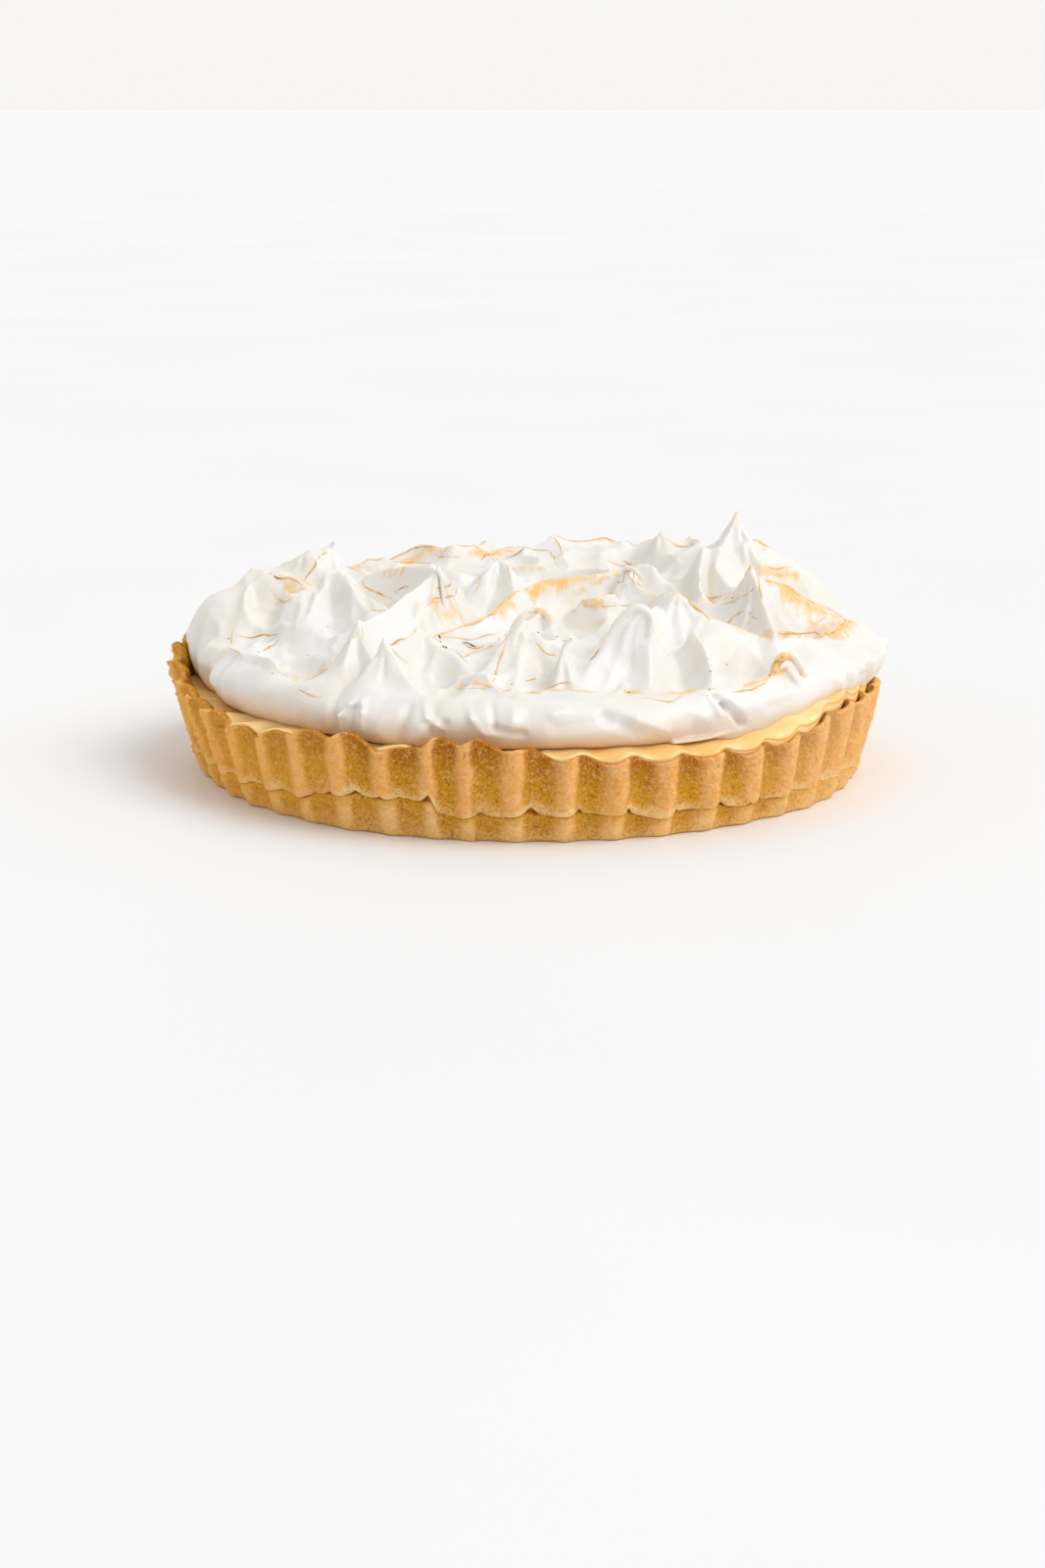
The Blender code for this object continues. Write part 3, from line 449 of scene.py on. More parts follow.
# Soft folds down the skirt, as (top and bottom as (degrees, height), reach, how far they stand out)
SKIRT_FOLDS = (
    # narrow loop of a fold, and the lobes beside it
    ((-31.6, 32), (-31.3, 38), 1.9, 2), ((-31.3, 38), (-30.1, 42), 1.9, 2.1),
    ((-30.1, 42), (-28.2, 43), 1.9, 2), ((-28.2, 43), (-27.3, 40), 1.8, 1.7),
    ((-27.3, 40), (-27.2, 33), 1.8, 1.4), ((-29.4, 40), (-29.4, 31), 1.6, -2.1),
    ((-34.5, 44), (-33.2, 32), 2.8, -2), ((-24.6, 37), (-24.6, 34.5), 6.5, 2.9),
    ((-19.9, 41), (-20.6, 31), 2.6, -2.5), ((-17.0, 36.5), (-17.0, 34), 4.5, 2.3),
    ((-18.6, 47), (-16.3, 40), 1.7, 1.8), ((-16.3, 40), (-13.8, 36), 1.9, 2),
    ((-13.4, 38), (-14.2, 32), 2.0, -1.8), ((-10.9, 46), (-9.2, 40), 2.0, 1.2),
    ((-9.2, 40), (-7.0, 35), 2.2, 1.3),
    # knob and long sweeping fold in the middle
    ((-2.6, 42), (-2.6, 39.5), 5.2, 2.5), ((-6.3, 44), (-5.4, 37), 1.8, -1.6),
    ((-5.4, 37), (-1, 35.4), 1.8, -1.6), ((3.4, 41.5), (8, 45), 2.6, 1.3),
    ((8, 45), (12.4, 44.5), 2.8, 1.6), ((12.4, 44.5), (17, 39.5), 3.0, 1.7),
    ((17, 39.5), (22, 34.5), 3.2, 1.4), ((4, 37.5), (12, 39.5), 3.5, -1.4),
    ((12, 39.5), (17, 35), 3.0, -1.3), ((24, 45), (29, 37), 4, 1),
    # cleft, and the smooth billow to its right
    ((32.3, 42.5), (34, 39.5), 2.2, -3.4), ((34, 39.5), (36, 34.5), 2.4, -3.9),
    ((31.2, 44), (31.8, 38), 1.6, 1.3), ((42, 38), (60, 42), 3.0, -1.2), ((60, 43), (62, 39), 4, 2.1),
    ((66, 46), (66.5, 35), 3, -2.3), ((70, 47), (70.6, 41), 2.4, 2.1), ((74.5, 46), (75.5, 36), 3, -1.8),
    # left side
    ((-40, 45), (-42, 34), 4, 1), ((-60, 47), (-62, 35), 6, 1.3), ((-73, 55), (-72, 34), 3.4, -5),
    ((-66, 47), (-65, 40), 1.8, -1), ((-63.5, 46), (-62.5, 41), 1.5, -0.9), ((-84, 48), (-83, 38), 4, -1.6),
    ((-77, 47), (-77, 41), 5, 3), ((-67.5, 43), (-67, 38), 4.5, 2.2), ((-96, 50), (-94, 42), 4, 1.8),
    ((-101, 46), (-103, 36), 2.6, -2.2),
    # right side and back
    ((86, 47), (88, 38), 3.4, -1.4), ((94, 42), (101, 45), 3, 2.2), ((101, 45), (107, 39), 3, 2.1),
    ((111, 47), (113, 36), 2.8, -3.4), ((120, 46), (119, 40), 4.5, 3.1), ((125, 48), (124, 36), 2.4, -3.2),
    ((133, 43), (140, 46), 2.8, 2.2), ((140, 46), (147, 40), 3, 2.2), ((151, 48), (149, 36), 2.8, -3.4),
    ((160, 44), (161, 39), 5, 3.1), ((168, 47), (171, 41), 2, 2.5), ((171, 41), (175, 37), 2, 2.1),
    ((178, 48), (177, 36), 2.6, -3.1), ((-172, 42), (-165, 46), 3, 2.4), ((-165, 46), (-158, 41), 3, 2.2),
    ((-153, 48), (-155, 36), 2.8, -3.4), ((-145, 45), (-145, 40), 5, 3.1),
    ((-138, 48), (-137, 37), 2.4, -2.8), ((-130, 44), (-123, 46), 3, 2.4),
    ((-123, 46), (-118, 40), 2.8, 2.2), ((-113, 48), (-114, 36), 2.8, -3.2),
)


def smooth_step(t):
    """Smooth rise from 0 to 1 as t goes from 0 to 1."""
    t = np.clip(t, 0.0, 1.0)
    return t * t * (3.0 - 2.0 * t)


def wrapped(angle):
    """The same angle between -180 and 180."""
    return (angle + 180.0) % 360.0 - 180.0


def around(angle, knots):
    """Value at each angle on the smooth closed curve through (degrees, value) knots."""
    angle = wrapped(angle)
    at = np.array([knot[0] for knot in knots] + [knots[0][0] + 360.0])
    value = np.array([knot[1] for knot in knots] + [knots[0][1]], float)
    left = np.clip(np.searchsorted(at, angle, side="right") - 1, 0, len(at) - 2)
    share = smooth_step((angle - at[left]) / (at[left + 1] - at[left]))
    return value[left] + (value[left + 1] - value[left]) * share


def corner_value(cells, seed):
    """Repeatable random number from 0 to 1 for each corner of a whole-number grid."""
    mixed = cells @ np.array([374761393, 668265263, 1442695041]) + seed * 97531
    mixed = ((mixed & 0xFFFFFFFF) ^ ((mixed & 0xFFFFFFFF) >> 13)) * 1274126177 & 0xFFFFFFFF
    return ((mixed ^ (mixed >> 16)) & 0xFFFF) / 65535.0


def soft_noise(points, size, seed=0):
    """Smooth noise from -1 to 1 at each point, with bumps about size apart."""
    scaled = points / size
    cell = np.floor(scaled).astype(np.int64)
    part = scaled - cell
    part = part * part * (3.0 - 2.0 * part)
    total = np.zeros(points.shape[:-1])
    for corner in itertools.product((0, 1), repeat=3):
        weight = np.prod(np.where(corner, part, 1.0 - part), axis=-1)
        total += weight * corner_value(cell + corner, seed)
    return 2.0 * total - 1.0


def nearest_centre(x, y, size, seed):
    """Distance to the nearest of scattered centres, in units of size."""
    x, y = x / size, y / size
    cell_x, cell_y = np.floor(x).astype(np.int64), np.floor(y).astype(np.int64)
    nearest = np.full(x.shape, np.inf)
    for step_x, step_y in itertools.product((-1, 0, 1), repeat=2):
        cell = np.stack([cell_x + step_x, cell_y + step_y, 0 * cell_x], axis=-1)
        centre_x = cell[..., 0] + 0.12 + 0.76 * corner_value(cell, seed)
        centre_y = cell[..., 1] + 0.12 + 0.76 * corner_value(cell, seed + 1)
        nearest = np.minimum(nearest, np.hypot(x - centre_x, y - centre_y))
    return nearest


def polar_points(angle, radius, height):
    """Array of points; the three inputs have one shape."""
    turn = np.radians(angle)
    return np.stack([radius * np.sin(turn), -radius * np.cos(turn), height], axis=-1)


def grid_faces(rows, columns, wrap):
    """Faces of a grid whose points are numbered row by row."""
    across = columns if wrap else columns - 1
    row, column = np.meshgrid(np.arange(rows - 1), np.arange(across), indexing="ij")
    after = (column + 1) % columns
    low, high = row * columns, (row + 1) * columns
    return np.stack((low + column, low + after, high + after, high + column), axis=-1).reshape(-1, 4)


def tube_faces(rings, columns, flip=False):
    """Faces of a closed tube: a grid that runs all the way round, and a cap at each end."""
    faces = grid_faces(rings, columns, True)
    faces = (faces[:, ::-1] if flip else faces).tolist()
    caps = [list(range(columns)), list(range((rings - 1) * columns, rings * columns))]
    caps[1 if flip else 0].reverse()
    return faces + caps


def ring_points(angle, rings):
    """Radius, height and point of every corner of rings that share their angles."""
    radius = np.array([ring[0] for ring in rings])
    height = np.array([ring[1] for ring in rings])
    return radius, height, polar_points(np.broadcast_to(angle, radius.shape), radius, height)


def piece_from(name, points, faces, material, values):
    """Smooth-shaded mesh object in metres, with one number per corner for each named value."""
    mesh = bpy.data.meshes.new(name)
    mesh.from_pydata((points * MM).tolist(), [], faces)
    mesh.validate()
    for key, numbers in values.items():
        attribute = mesh.attributes.new(key, "FLOAT", "POINT")
        attribute.data.foreach_set("value", np.asarray(numbers, np.float32))
    mesh.shade_smooth()
    mesh.materials.append(material)
    piece = bpy.data.objects.new(name, mesh)
    bpy.context.scene.collection.objects.link(piece)
    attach(piece, "root")
    return piece


# ---------------------------------------------------------------- crust shape

def flute_turn(angle):
    """Place within the flutes, growing by a full turn from one crest to the next."""
    ahead = LEFT_CREST_SHIFT * smooth_step((angle + 120) / 25) * smooth_step((-6 - angle) / 12)
    return FLUTES * np.radians(angle - FIRST_CREST - ahead)


def flute(angle):
    """How far the fluting stands out, about 1 on a crest and -1 in a groove."""
    turn = flute_turn(angle)
    uneven = 1.0 + 0.15 * np.sin(np.radians(5 * angle + 40)) + 0.1 * np.sin(np.radians(11 * angle))
    return uneven * (np.cos(turn) + 0.15 * np.cos(2 * turn))


def rim_height(angle):
    return around(angle, RIM_HEIGHT) + RIM_WAVE * np.cos(flute_turn(angle) - CREASE_PHASE)


def wall_radius(angle, height):
    """Outside of the wall."""
    base = around(angle, BASE_RADIUS)
    flare = base + (around(angle, RIM_RADIUS) - base) * height / NOMINAL_RIM
    return flare + FLUTE_DEPTH * flute(angle) * smooth_step(0.45 + height / 12.0)


def inner_radius(angle, height):
    """Inside of the wall, which leans in to a round floor line."""
    up = smooth_step((height - FLOOR_THICKNESS) / 20.0)
    floor_line = around(angle, BASE_RADIUS) - FLOOR_INSET + 0.3 * FLUTE_DEPTH * flute(angle)
    return floor_line + (wall_radius(angle, height) - WALL_THICKNESS - floor_line) * up


def fold_gap(angle):
    """Height of the small dark openings left under the fold."""
    opening = np.zeros_like(angle)
    for middle, half, height in FOLD_GAPS:
        away = np.abs(wrapped(angle - middle)) / half
        opening = np.maximum(opening, height * np.clip(1.0 - away, 0.0, 1.0) ** 1.3)
    return opening


def lobes(angle):
    """Swelling between the creases beside the crests, from 0 in a crease to 1."""
    return np.abs(np.sin((flute_turn(angle) - CREASE_PHASE) / 2.0)) ** 0.7


def ragged(angle):
    """How crumbly the crust is, by angle; its left side has crumbled most."""
    return 1.0 + 1.2 * smooth_step(1.0 - np.abs(angle + 80.0) / 45.0)


def crust_rings(angle):
    """Rings from the underside over the rim to the floor, each with a radius, a height and a kind."""
    share = around(angle, FOLD_SHARE)
    rim = rim_height(angle)
    row = polar_points(angle, 124.0 + 0 * angle, 0 * angle)
    rim = rim + ragged(angle) * (0.3 * soft_noise(row, 2.2, 5) + 0.3 * soft_noise(row, 5.5, 6))
    low = around(angle, FOLD_HEIGHT) + 0.9 - 1.5 * lobes(angle)
    band = low + fold_gap(angle) * share + 0.15
    hang = share * (0.6 + 1.3 * lobes(angle))

    def strip(height):
        return wall_radius(angle, height) - FOLD_OVERHANG * share

    rings = []

    def ring(radius, height, kind):
        rings.append((radius + 0 * angle, height + 0 * angle, kind))

    ring(strip(0.0) - 1.6, 0.0, BASE)
    ring(strip(0.0) - 0.7, 0.02, BASE)
    ring(strip(0.4) - 0.15, 0.35, BASE)
    for t in np.linspace(0.1, 0.93, 12):
        ring(strip(t * low) + 0.35 * math.sin(math.pi * t), t * low, BASE)
    ring(strip(low) - 0.15 * share, low - 0.1, BASE)
    ring(strip(low) - 0.7 * share, low + 0.05, BASE)
    ring(strip(low) - 2.4 * share, low + 0.1, BASE)
    ring(strip(low) - 2.4 * share, band + 0.35, WALL)
    ring(wall_radius(angle, band) - 1.1 * share, band + 0.15, WALL)
    ring(wall_radius(angle, band) - 0.45 * share, band + 0.05, WALL)
    ring(wall_radius(angle, band) + 0.3 * hang, band + 0.45, WALL)
    ring(wall_radius(angle, band + 1.0) + 0.6 * hang, band + 1.1, WALL)
    top = rim - RIM_ROUNDING
    for t in np.linspace(0.06, 1.0, 31):
        height = band + 1.1 + (top - band - 1.1) * t
        belly = 0.35 * math.sin(math.pi * t) ** 0.8 + 0.6 * hang * (1.0 - t) ** 1.5
        ring(wall_radius(angle, height) + belly, height, WALL)
    edge = wall_radius(angle, rim)
    for turn in np.linspace(15, 165, 9):
        bow = math.radians(turn)
        inward = 0.5 * WALL_THICKNESS * (1.0 - math.cos(bow))
        ring(edge - inward - 0.05, top + RIM_ROUNDING * math.sin(bow), INSIDE if turn > 90 else WALL)
    for t in np.linspace(0.0, 1.0, 9):
        height = top - (top - FLOOR_THICKNESS) * t
        ring(inner_radius(angle, height), height, INSIDE)
    return rings, band, rim


def make_crust(material):
    columns = CRUST_COLUMNS
    angle = np.arange(columns) * 360.0 / columns - 180.0
    rings, band, rim = crust_rings(angle)
    count = len(rings)
    kind = np.repeat([[float(ring[2])] for ring in rings], columns, axis=1)
    radius, height, flat = ring_points(angle, rings)
    # grainy, slightly lumpy outside; the underside and the floor stay flat
    rough = smooth_step(height) * (np.arange(count) < count - 3)[:, None] * ragged(angle)
    grain = 0.17 * soft_noise(flat, 0.8, 1) + 0.17 * soft_noise(flat, 1.7, 2)
    grain = grain + 0.25 * soft_noise(flat, 5.0, 3)
    pits = -0.5 * smooth_step((soft_noise(flat, 0.9, 9) - 0.80) / 0.12)
    crumbs = 0.3 * smooth_step((soft_noise(flat, 1.2, 10) - 0.45) / 0.3)
    shift = rough * grain * (kind > BASE)
    angles = np.broadcast_to(angle, radius.shape)
    points = polar_points(angles, radius + rough * (grain + pits + crumbs), height + shift)
    # share up the wall, or up the base strip below the fold
    up = np.clip(np.where(kind > BASE, (height - band) / (rim - band), height / band), 0.0, 1.0)
    # the baked patch fills a groove: sharp beside the crest on its left, fading towards the next one
    phase = flute_turn(angles) / (2.0 * math.pi) + 0.07 * soft_noise(flat, 6.0, 11)
    phase = phase - np.floor(phase)
    patch = smooth_step((phase - 0.10) / 0.13) * smooth_step((0.90 - phase) / 0.32)
    values = {"up": up, "patch": patch, "kind": kind, "pit": -pits, "side": points[..., 0] / TOP_RADIUS}
    piece = piece_from("crust_baked", points.reshape(-1, 3), tube_faces(count, columns), material,
                       {key: numbers.ravel() for key, numbers in values.items()})
    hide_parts("crust")


# ---------------------------------------------------------------- filling shape

def make_filling(material):
    columns = CURD_COLUMNS
    angle = np.arange(columns) * 360.0 / columns - 180.0
    rim = rim_height(angle)
    over = smooth_step((31.0 - around(angle, RIM_HEIGHT)) / 1.6)     # 1 where the curd laps over a low rim
    inner = inner_radius(angle, rim) + 0.35
    wander = 0.5 * soft_noise(polar_points(angle, 120 + 0 * angle, 0 * angle), 9.0, 4)
    lip = wall_radius(angle, rim) - 1.25 + wander
    edge = inner + (lip - inner) * over
    level = np.minimum(around(angle, FILLING_EDGE), rim - 0.3)
    edge_level = level + (rim + 0.45 - level) * over
    # where the curd is swollen its edge follows the flutes less, and its rise does so nowhere
    period = columns // FLUTES
    extended = np.concatenate([edge[-period:], edge, edge[:period]])
    evened = np.convolve(extended, np.ones(period) / period, "same")[period:-period]
    swell = around(angle, SWELL)
    edge = edge + 0.6 * (evened - edge) * np.clip(swell / 4.0, 0.0, 1.0)
    rings = [(90.0 + 0 * angle, FILLING_LEVEL + 0 * angle)]
    for t in np.linspace(0.0, 1.0, 26) ** 0.8:
        radius = CURD_RISE_FROM + (edge - CURD_RISE_FROM) * t
        rise = np.clip((radius - CURD_RISE_FROM) / (evened - CURD_RISE_FROM), 0.0, 1.15) ** 2.2
        rise = rise + (t ** 2.2 - rise) * over
        height = FILLING_LEVEL + (edge_level - FILLING_LEVEL) * rise
        height = height + swell * smooth_step((radius - 102.0) / 10.0) * smooth_step((126.0 - radius) / 10.0)
        bead = math.sqrt(1.0 - (max(t - 0.93, 0.0) / 0.07) ** 2)     # rounds off the edge on the rim
        rings.append((radius, height + 0.75 * over * bead))
    rings.append((edge - 0.15 * over - 0.6, np.minimum(rings[-1][1], edge_level) - 0.9))
    rings.append((inner_radius(angle, 15.0 + 0 * angle) - 0.5, 15.0 + 0 * angle))
    rings.append((110.0 + 0 * angle, 5.0 + 0 * angle))
    count = len(rings)
    radius, height, points = ring_points(angle, rings)
    top = (np.arange(count) < count - 3)[:, None]
    points[..., 2] = height + top * (0.22 * soft_noise(points, 14.0, 6) + 0.08 * soft_noise(points, 4.0, 7))
    outward = (radius - CURD_RISE_FROM) / (edge - CURD_RISE_FROM)
    piece = piece_from("lemon_curd", points.reshape(-1, 3), tube_faces(count, columns, flip=True), material,
                       {"outward": outward.ravel()})
    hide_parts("lemon_filling")


# ---------------------------------------------------------------- meringue shape

def smooth_line(points, spacing=0.8):
    """Points about spacing apart on the Catmull-Rom curve through the given ones."""
    points = np.array(points, float)
    ends = np.vstack([2 * points[0] - points[1], points, 2 * points[-1] - points[-2]])
    line = []
    for before, start, end, after in zip(ends, ends[1:], ends[2:], ends[3:]):
        steps = max(int(np.linalg.norm(end - start) / spacing), 2)
        for t in np.arange(steps) / steps:
            bend = 2 * before - 5 * start + 4 * end - after
            twist = 3 * start - before - 3 * end + after
            line.append(0.5 * (2 * start + (end - before) * t + bend * t * t + twist * t ** 3))
    line.append(points[-1])
    return np.array(line)


def bulge_radius(angle):
    """Widest radius of the skirt, with rounded billows that meet in creases."""
    lump = np.zeros_like(angle)
    for middle, half, bulge in BILLOWS:
        away = wrapped(angle - middle) / half
        lump = np.maximum(lump, bulge * np.sqrt(np.clip(1.0 - away * away, 0.0, 1.0)))
    return around(angle, BULGE_BASE) + lump


def bell(x, y, middle_x, middle_y, reach, stretch=1.0):
    """Round bump, 1 in its middle and 0 beyond reach, stretched along x."""
    distance = np.hypot(x / stretch - middle_x / stretch, y - middle_y) / reach
    return np.clip(1.0 - distance * distance, 0.0, 1.0) ** 2


def body_height(x, y):
    """The meringue's top without its ridges: a crowned surface with mounds, hollows and bowls."""
    out = np.minimum(np.hypot(x, y) / TOP_RADIUS, 1.0)
    surface = EDGE_TOP + CROWN * (1.0 - out ** 3)
    surface = surface + BACK_RISE * smooth_step(0.5 + 0.5 * y / TOP_RADIUS) * (1.0 - out ** 6)
    valley = np.clip(1.0 - ((np.hypot(x, y) - VALLEY_RADIUS) / VALLEY_REACH) ** 2, 0.0, 1.0)
    surface = surface - around(np.degrees(np.arctan2(x, -y)), VALLEY) * valley ** 1.5
    lifts = [np.maximum(top - surface, 0.0) * bell(x, y, mx, my, reach) for mx, my, top, reach in MOUNDS]
    surface = surface + sum(lift ** 4 for lift in lifts) ** 0.25
    for mx, my, depth, reach, stretch in HOLLOWS:
        surface = surface - depth * bell(x, y, mx, my, reach, stretch)
    for mx, my, depth, reach, stretch in BOWLS:
        surface = surface - depth * bell(x, y, mx, my, reach, stretch) ** 0.5
    return surface


def near_line(x, y, line, wide):
    """Points within wide of a line: which they are, their distance from it, and its nearest point."""
    near = ((x > line[:, 0].min() - wide) & (x < line[:, 0].max() + wide)
            & (y > line[:, 1].min() - wide) & (y < line[:, 1].max() + wide))
    squared = (x[near][:, None] - line[:, 0]) ** 2 + (y[near][:, None] - line[:, 1]) ** 2
    closest = squared.argmin(axis=1)
    return near, np.sqrt(squared[np.arange(len(closest)), closest]), closest


def fine_folds(x, y):
    """Small folds laid over the surface, and the golden brushes on it."""
    height = np.zeros_like(x)
    golden = np.zeros_like(x)
    for points, half, lift in FOLDS:
        near, distance, closest = near_line(x, y, smooth_line(points), half)
        ends = np.sin(np.pi * (closest + 1.0) / (closest.max() + 2.0)) ** 0.5
        height[near] = np.maximum(height[near], lift * ends * np.clip(1.0 - distance / half, 0.0, 1.0) ** 1.2)
    for points, half, strength in TOAST_AND_CUP_SHADE:
        near, distance, _ = near_line(x, y, smooth_line(points), 1.5 * half)
        golden[near] = np.maximum(golden[near], strength * np.clip(1.0 - distance / (1.5 * half), 0.0, 1.0))
    return height, golden


def scooped(x, y):
    """Height of the sharp walls left between spooned hollows."""
    inward = smooth_step((112.0 - np.hypot(x, y)) / 16.0)
    flat = np.stack([x, y, 0 * x], axis=-1)
    height = np.zeros_like(x)

    def wandering(along, size, seed):
        along = along + 0.45 * size * soft_noise(flat, 1.6 * size, seed)
        return along + 0.18 * size * soft_noise(flat, 0.6 * size, seed + 1)

    for size, wall, seed in SCOOPS:
        bend_x, bend_y = wandering(x, size, seed + 2), wandering(y, size, seed + 4)
        uneven = 0.65 + 0.5 * soft_noise(flat, 2.2 * size, seed + 6)
        centre = nearest_centre(bend_x, 1.3 * bend_y, size, seed)
        height = height + wall * uneven * np.minimum(centre / 0.75, 1.3) ** 2.4
    return inward * height


def ridge_field(x, y, surface):
    """Lift of all ridges together, and the toast on them."""
    total = np.zeros_like(x)
    toast = np.zeros_like(x)
    for points, reach, sharpness, steep, toasted, width in RIDGES:
        line = smooth_line(points)
        near, distance, closest = near_line(x, y, line, reach * (1.0 + abs(steep)))
        along = np.gradient(line, axis=0)[closest]
        # 1 straight to the left of the line, -1 straight to its right
        side = along[:, 0] * (y[near] - line[closest, 1]) - along[:, 1] * (x[near] - line[closest, 0])
        side = side / (np.hypot(along[:, 0], along[:, 1]) * np.maximum(distance, 1e-6) + 1e-9)
        local = distance / (reach * (1.0 - steep * np.clip(side, -1.0, 1.0)))
        fall = np.clip(1.0 - local, 0.0, 1.0) ** sharpness
        lift = np.maximum(line[closest, 2] - surface[near], 0.0) * fall
        drag = soft_noise(np.stack([distance, 0.06 * closest, side], axis=-1), 1.5, 29)   # left by the spoon
        lift = lift * (1.0 + 0.03 * drag * smooth_step(distance / 2.0))
        total[near] += lift ** 5
        closeness = np.clip(1.0 - distance / width, 0.0, 1.0) * np.clip(lift / 3.0, 0.0, 1.0)
        toast[near] = np.maximum(toast[near], toasted * closeness)
    return total ** 0.2, toast


def section_shares(rows):
    """Rows spread evenly along a typical section: share of the radius, and how far down the lower face."""
    out = np.concatenate([np.linspace(0.0, 0.8, 200), 1.0 - 0.2 * np.linspace(1.0, 0.0, 400)[1:] ** 2.2])
    top = 38.0 + 12.0 * np.sqrt(np.clip(1.0 - out ** EDGE_FULLNESS, 0.0, 1.0))
    upper = np.stack([out * 117.0, top], axis=-1)
    turn = np.linspace(0.0, math.pi / 2, 100)[1:]
    lower = np.stack([112.0 + 5.0 * np.cos(turn), 38.0 - 9.0 * np.sin(turn)], axis=-1)
    section = np.vstack([upper, lower])
    length = np.concatenate([[0.0], np.cumsum(np.hypot(*np.diff(section, axis=0).T))])
    at = np.linspace(0.0, length[-1], rows)
    share = np.interp(at, length, np.concatenate([out, np.ones(len(turn))]))
    down = np.interp(at, length, np.concatenate([np.zeros(len(out)), turn]))
    return share, down


def round_grid(side):
    """A square grid squeezed into a disc, finer towards the front: angle and share of the radius."""
    line = np.linspace(-1.0, 1.0, side)
    u, v = np.meshgrid(line, line)
    v = v - 0.2 * (1.0 - v * v)
    sideways = np.abs(u) > np.abs(v)
    longer, shorter = np.where(sideways, u, v), np.where(sideways, v, u)
    turn = (math.pi / 4) * shorter / np.where(np.abs(longer) < 1e-9, 1e-9, longer)
    x = longer * np.where(sideways, np.cos(turn), np.sin(turn))
    y = longer * np.where(sideways, np.sin(turn), np.cos(turn))
    return np.degrees(np.arctan2(x, -y)), np.hypot(x, y)


def skirt_fold(angle, height):
    """How far soft folds stand out of the skirt, or sink into it, in millimetres."""
    place = np.stack([angle * 2.0, height], axis=-1)
    fold = 0.5 * soft_noise(np.stack([angle * 2.0, height * 0.6, 0 * angle], axis=-1), 7.0, 26)
    for (top_angle, top_height), (end_angle, end_height), reach, stand in SKIRT_FOLDS:
        start = np.array([top_angle * 2.0, top_height])
        span = np.array([end_angle * 2.0, end_height]) - start
        along = np.clip((place - start) @ span / (span @ span), 0.0, 1.0)
        distance = np.linalg.norm(place - start - along[..., None] * span, axis=-1) / reach
        fold = fold + stand * np.clip(1.0 - distance, 0.0, 1.0) ** (1.4 if stand > 0 else 1.1)
    return fold


def meringue_skin(side):
    """Points of the meringue's whole upper face on a grid, and how toasted and how golden each is."""
    angle, radial = round_grid(side)
    rows = 400
    out, down = (np.interp(radial, np.linspace(0, 1, rows), share) for share in section_shares(rows))
    low = np.maximum(around(angle, BULGE_HEIGHT), around(angle, RIM_HEIGHT) + 3.5)
    wide = bulge_radius(angle)
    foot = around(angle, FOOT_RADIUS)
    flat = polar_points(angle, out * wide, 0 * out)
    # the ridges wander a little, as if drawn by a spoon
    x = flat[..., 0] + 1.3 * soft_noise(flat, 13.0, 21) + 0.45 * soft_noise(flat, 4.5, 22)
    y = flat[..., 1] + 1.3 * soft_noise(flat, 13.0, 23) + 0.45 * soft_noise(flat, 4.5, 24)
    folds, golden = fine_folds(flat[..., 0], flat[..., 1])
    surface = body_height(x, y) + 1.0 * soft_noise(flat, 22.0, 25)
    lift, toast = ridge_field(x, y, surface)
    top = surface + (lift ** 3 + scooped(x, y) ** 3) ** (1 / 3) + folds
    # the top falls to the skirt's widest place, and below that the skirt turns in to its foot
    falloff = np.sqrt(np.clip(1.0 - out ** EDGE_FULLNESS, 0.0, 1.0))
    height = low + (top - low) * falloff
    below = down > 0
    height = np.where(below, low - (low - FILLING_LEVEL - 0.2) * np.sin(down), height)
    radius = np.where(below, foot + (wide - foot) * np.cos(down), out * wide)
    radius = radius + smooth_step((out - 0.9) / 0.08) * np.cos(down * 0.8) * skirt_fold(angle, height)
    points = polar_points(angle, radius, height)

    # tips that lean over and droop, with pleats running down from them
    for tip_x, tip_y, start, tip, reach, lean_x, lean_y, droop, pleats in LEANS:
        off_x, off_y = points[..., 0] - tip_x, points[..., 1] - tip_y
        away = np.hypot(off_x, off_y)
        near = smooth_step(1.6 - 1.6 * away / reach)
        rise = np.clip((points[..., 2] - start) / (tip - start), 0.0, 1.0) * near
        turn = np.arctan2(off_y, off_x)
        pleat = 0.5 * np.cos(pleats * turn + 2.5 * np.sin(turn))
        pleat = pleat + 0.35 * np.cos((2 * pleats - 3) * turn + 1.0)
        pleat = pleat * near * smooth_step(away / 2.5) / np.maximum(away, 1.0)
        points[..., 0] += lean_x * rise ** 2 + pleat * off_x
        points[..., 1] += lean_y * rise ** 2 + pleat * off_y
        points[..., 2] -= droop * rise ** 4
    points[..., 2] += falloff * (0.10 * soft_noise(points, 2.6, 27) + 0.22 * soft_noise(points, 7.0, 28))
    return points, toast * (out < 0.995), golden


def swept(points, thick, thin, flatness, sides=10):
    """Closed tapering tube along the smooth curve through points: corners and faces."""
    line = smooth_line(points, 0.5)
    count = len(line)
    along = np.gradient(line, axis=0)
    along /= np.linalg.norm(along, axis=1)[:, None]
    side = np.cross(along[0], (0.3, 0.2, 0.9))
    turn = np.arange(sides)[:, None] * 2 * math.pi / sides
    rings = []
    for step in range(count):
        side = side - (side @ along[step]) * along[step]
        side /= np.linalg.norm(side)
        share = step / (count - 1)
        size = thick + (thin - thick) * share
        size *= math.sqrt(max(1.0 - max(share * count - (count - 3), 0.0) / 3.2, 0.02))
        up = np.cross(along[step], side)
        rings.append(line[step] + size * (np.cos(turn) * side + flatness * np.sin(turn) * up))
    return np.vstack(rings), tube_faces(count, sides)


def joined(parts):
    """One list of points and faces from several."""
    points, faces, start = [], [], 0
    for corners, part_faces in parts:
        points.append(corners)
        faces += [[start + corner for corner in face] for face in part_faces]
        start += len(corners)
    return np.vstack(points), faces


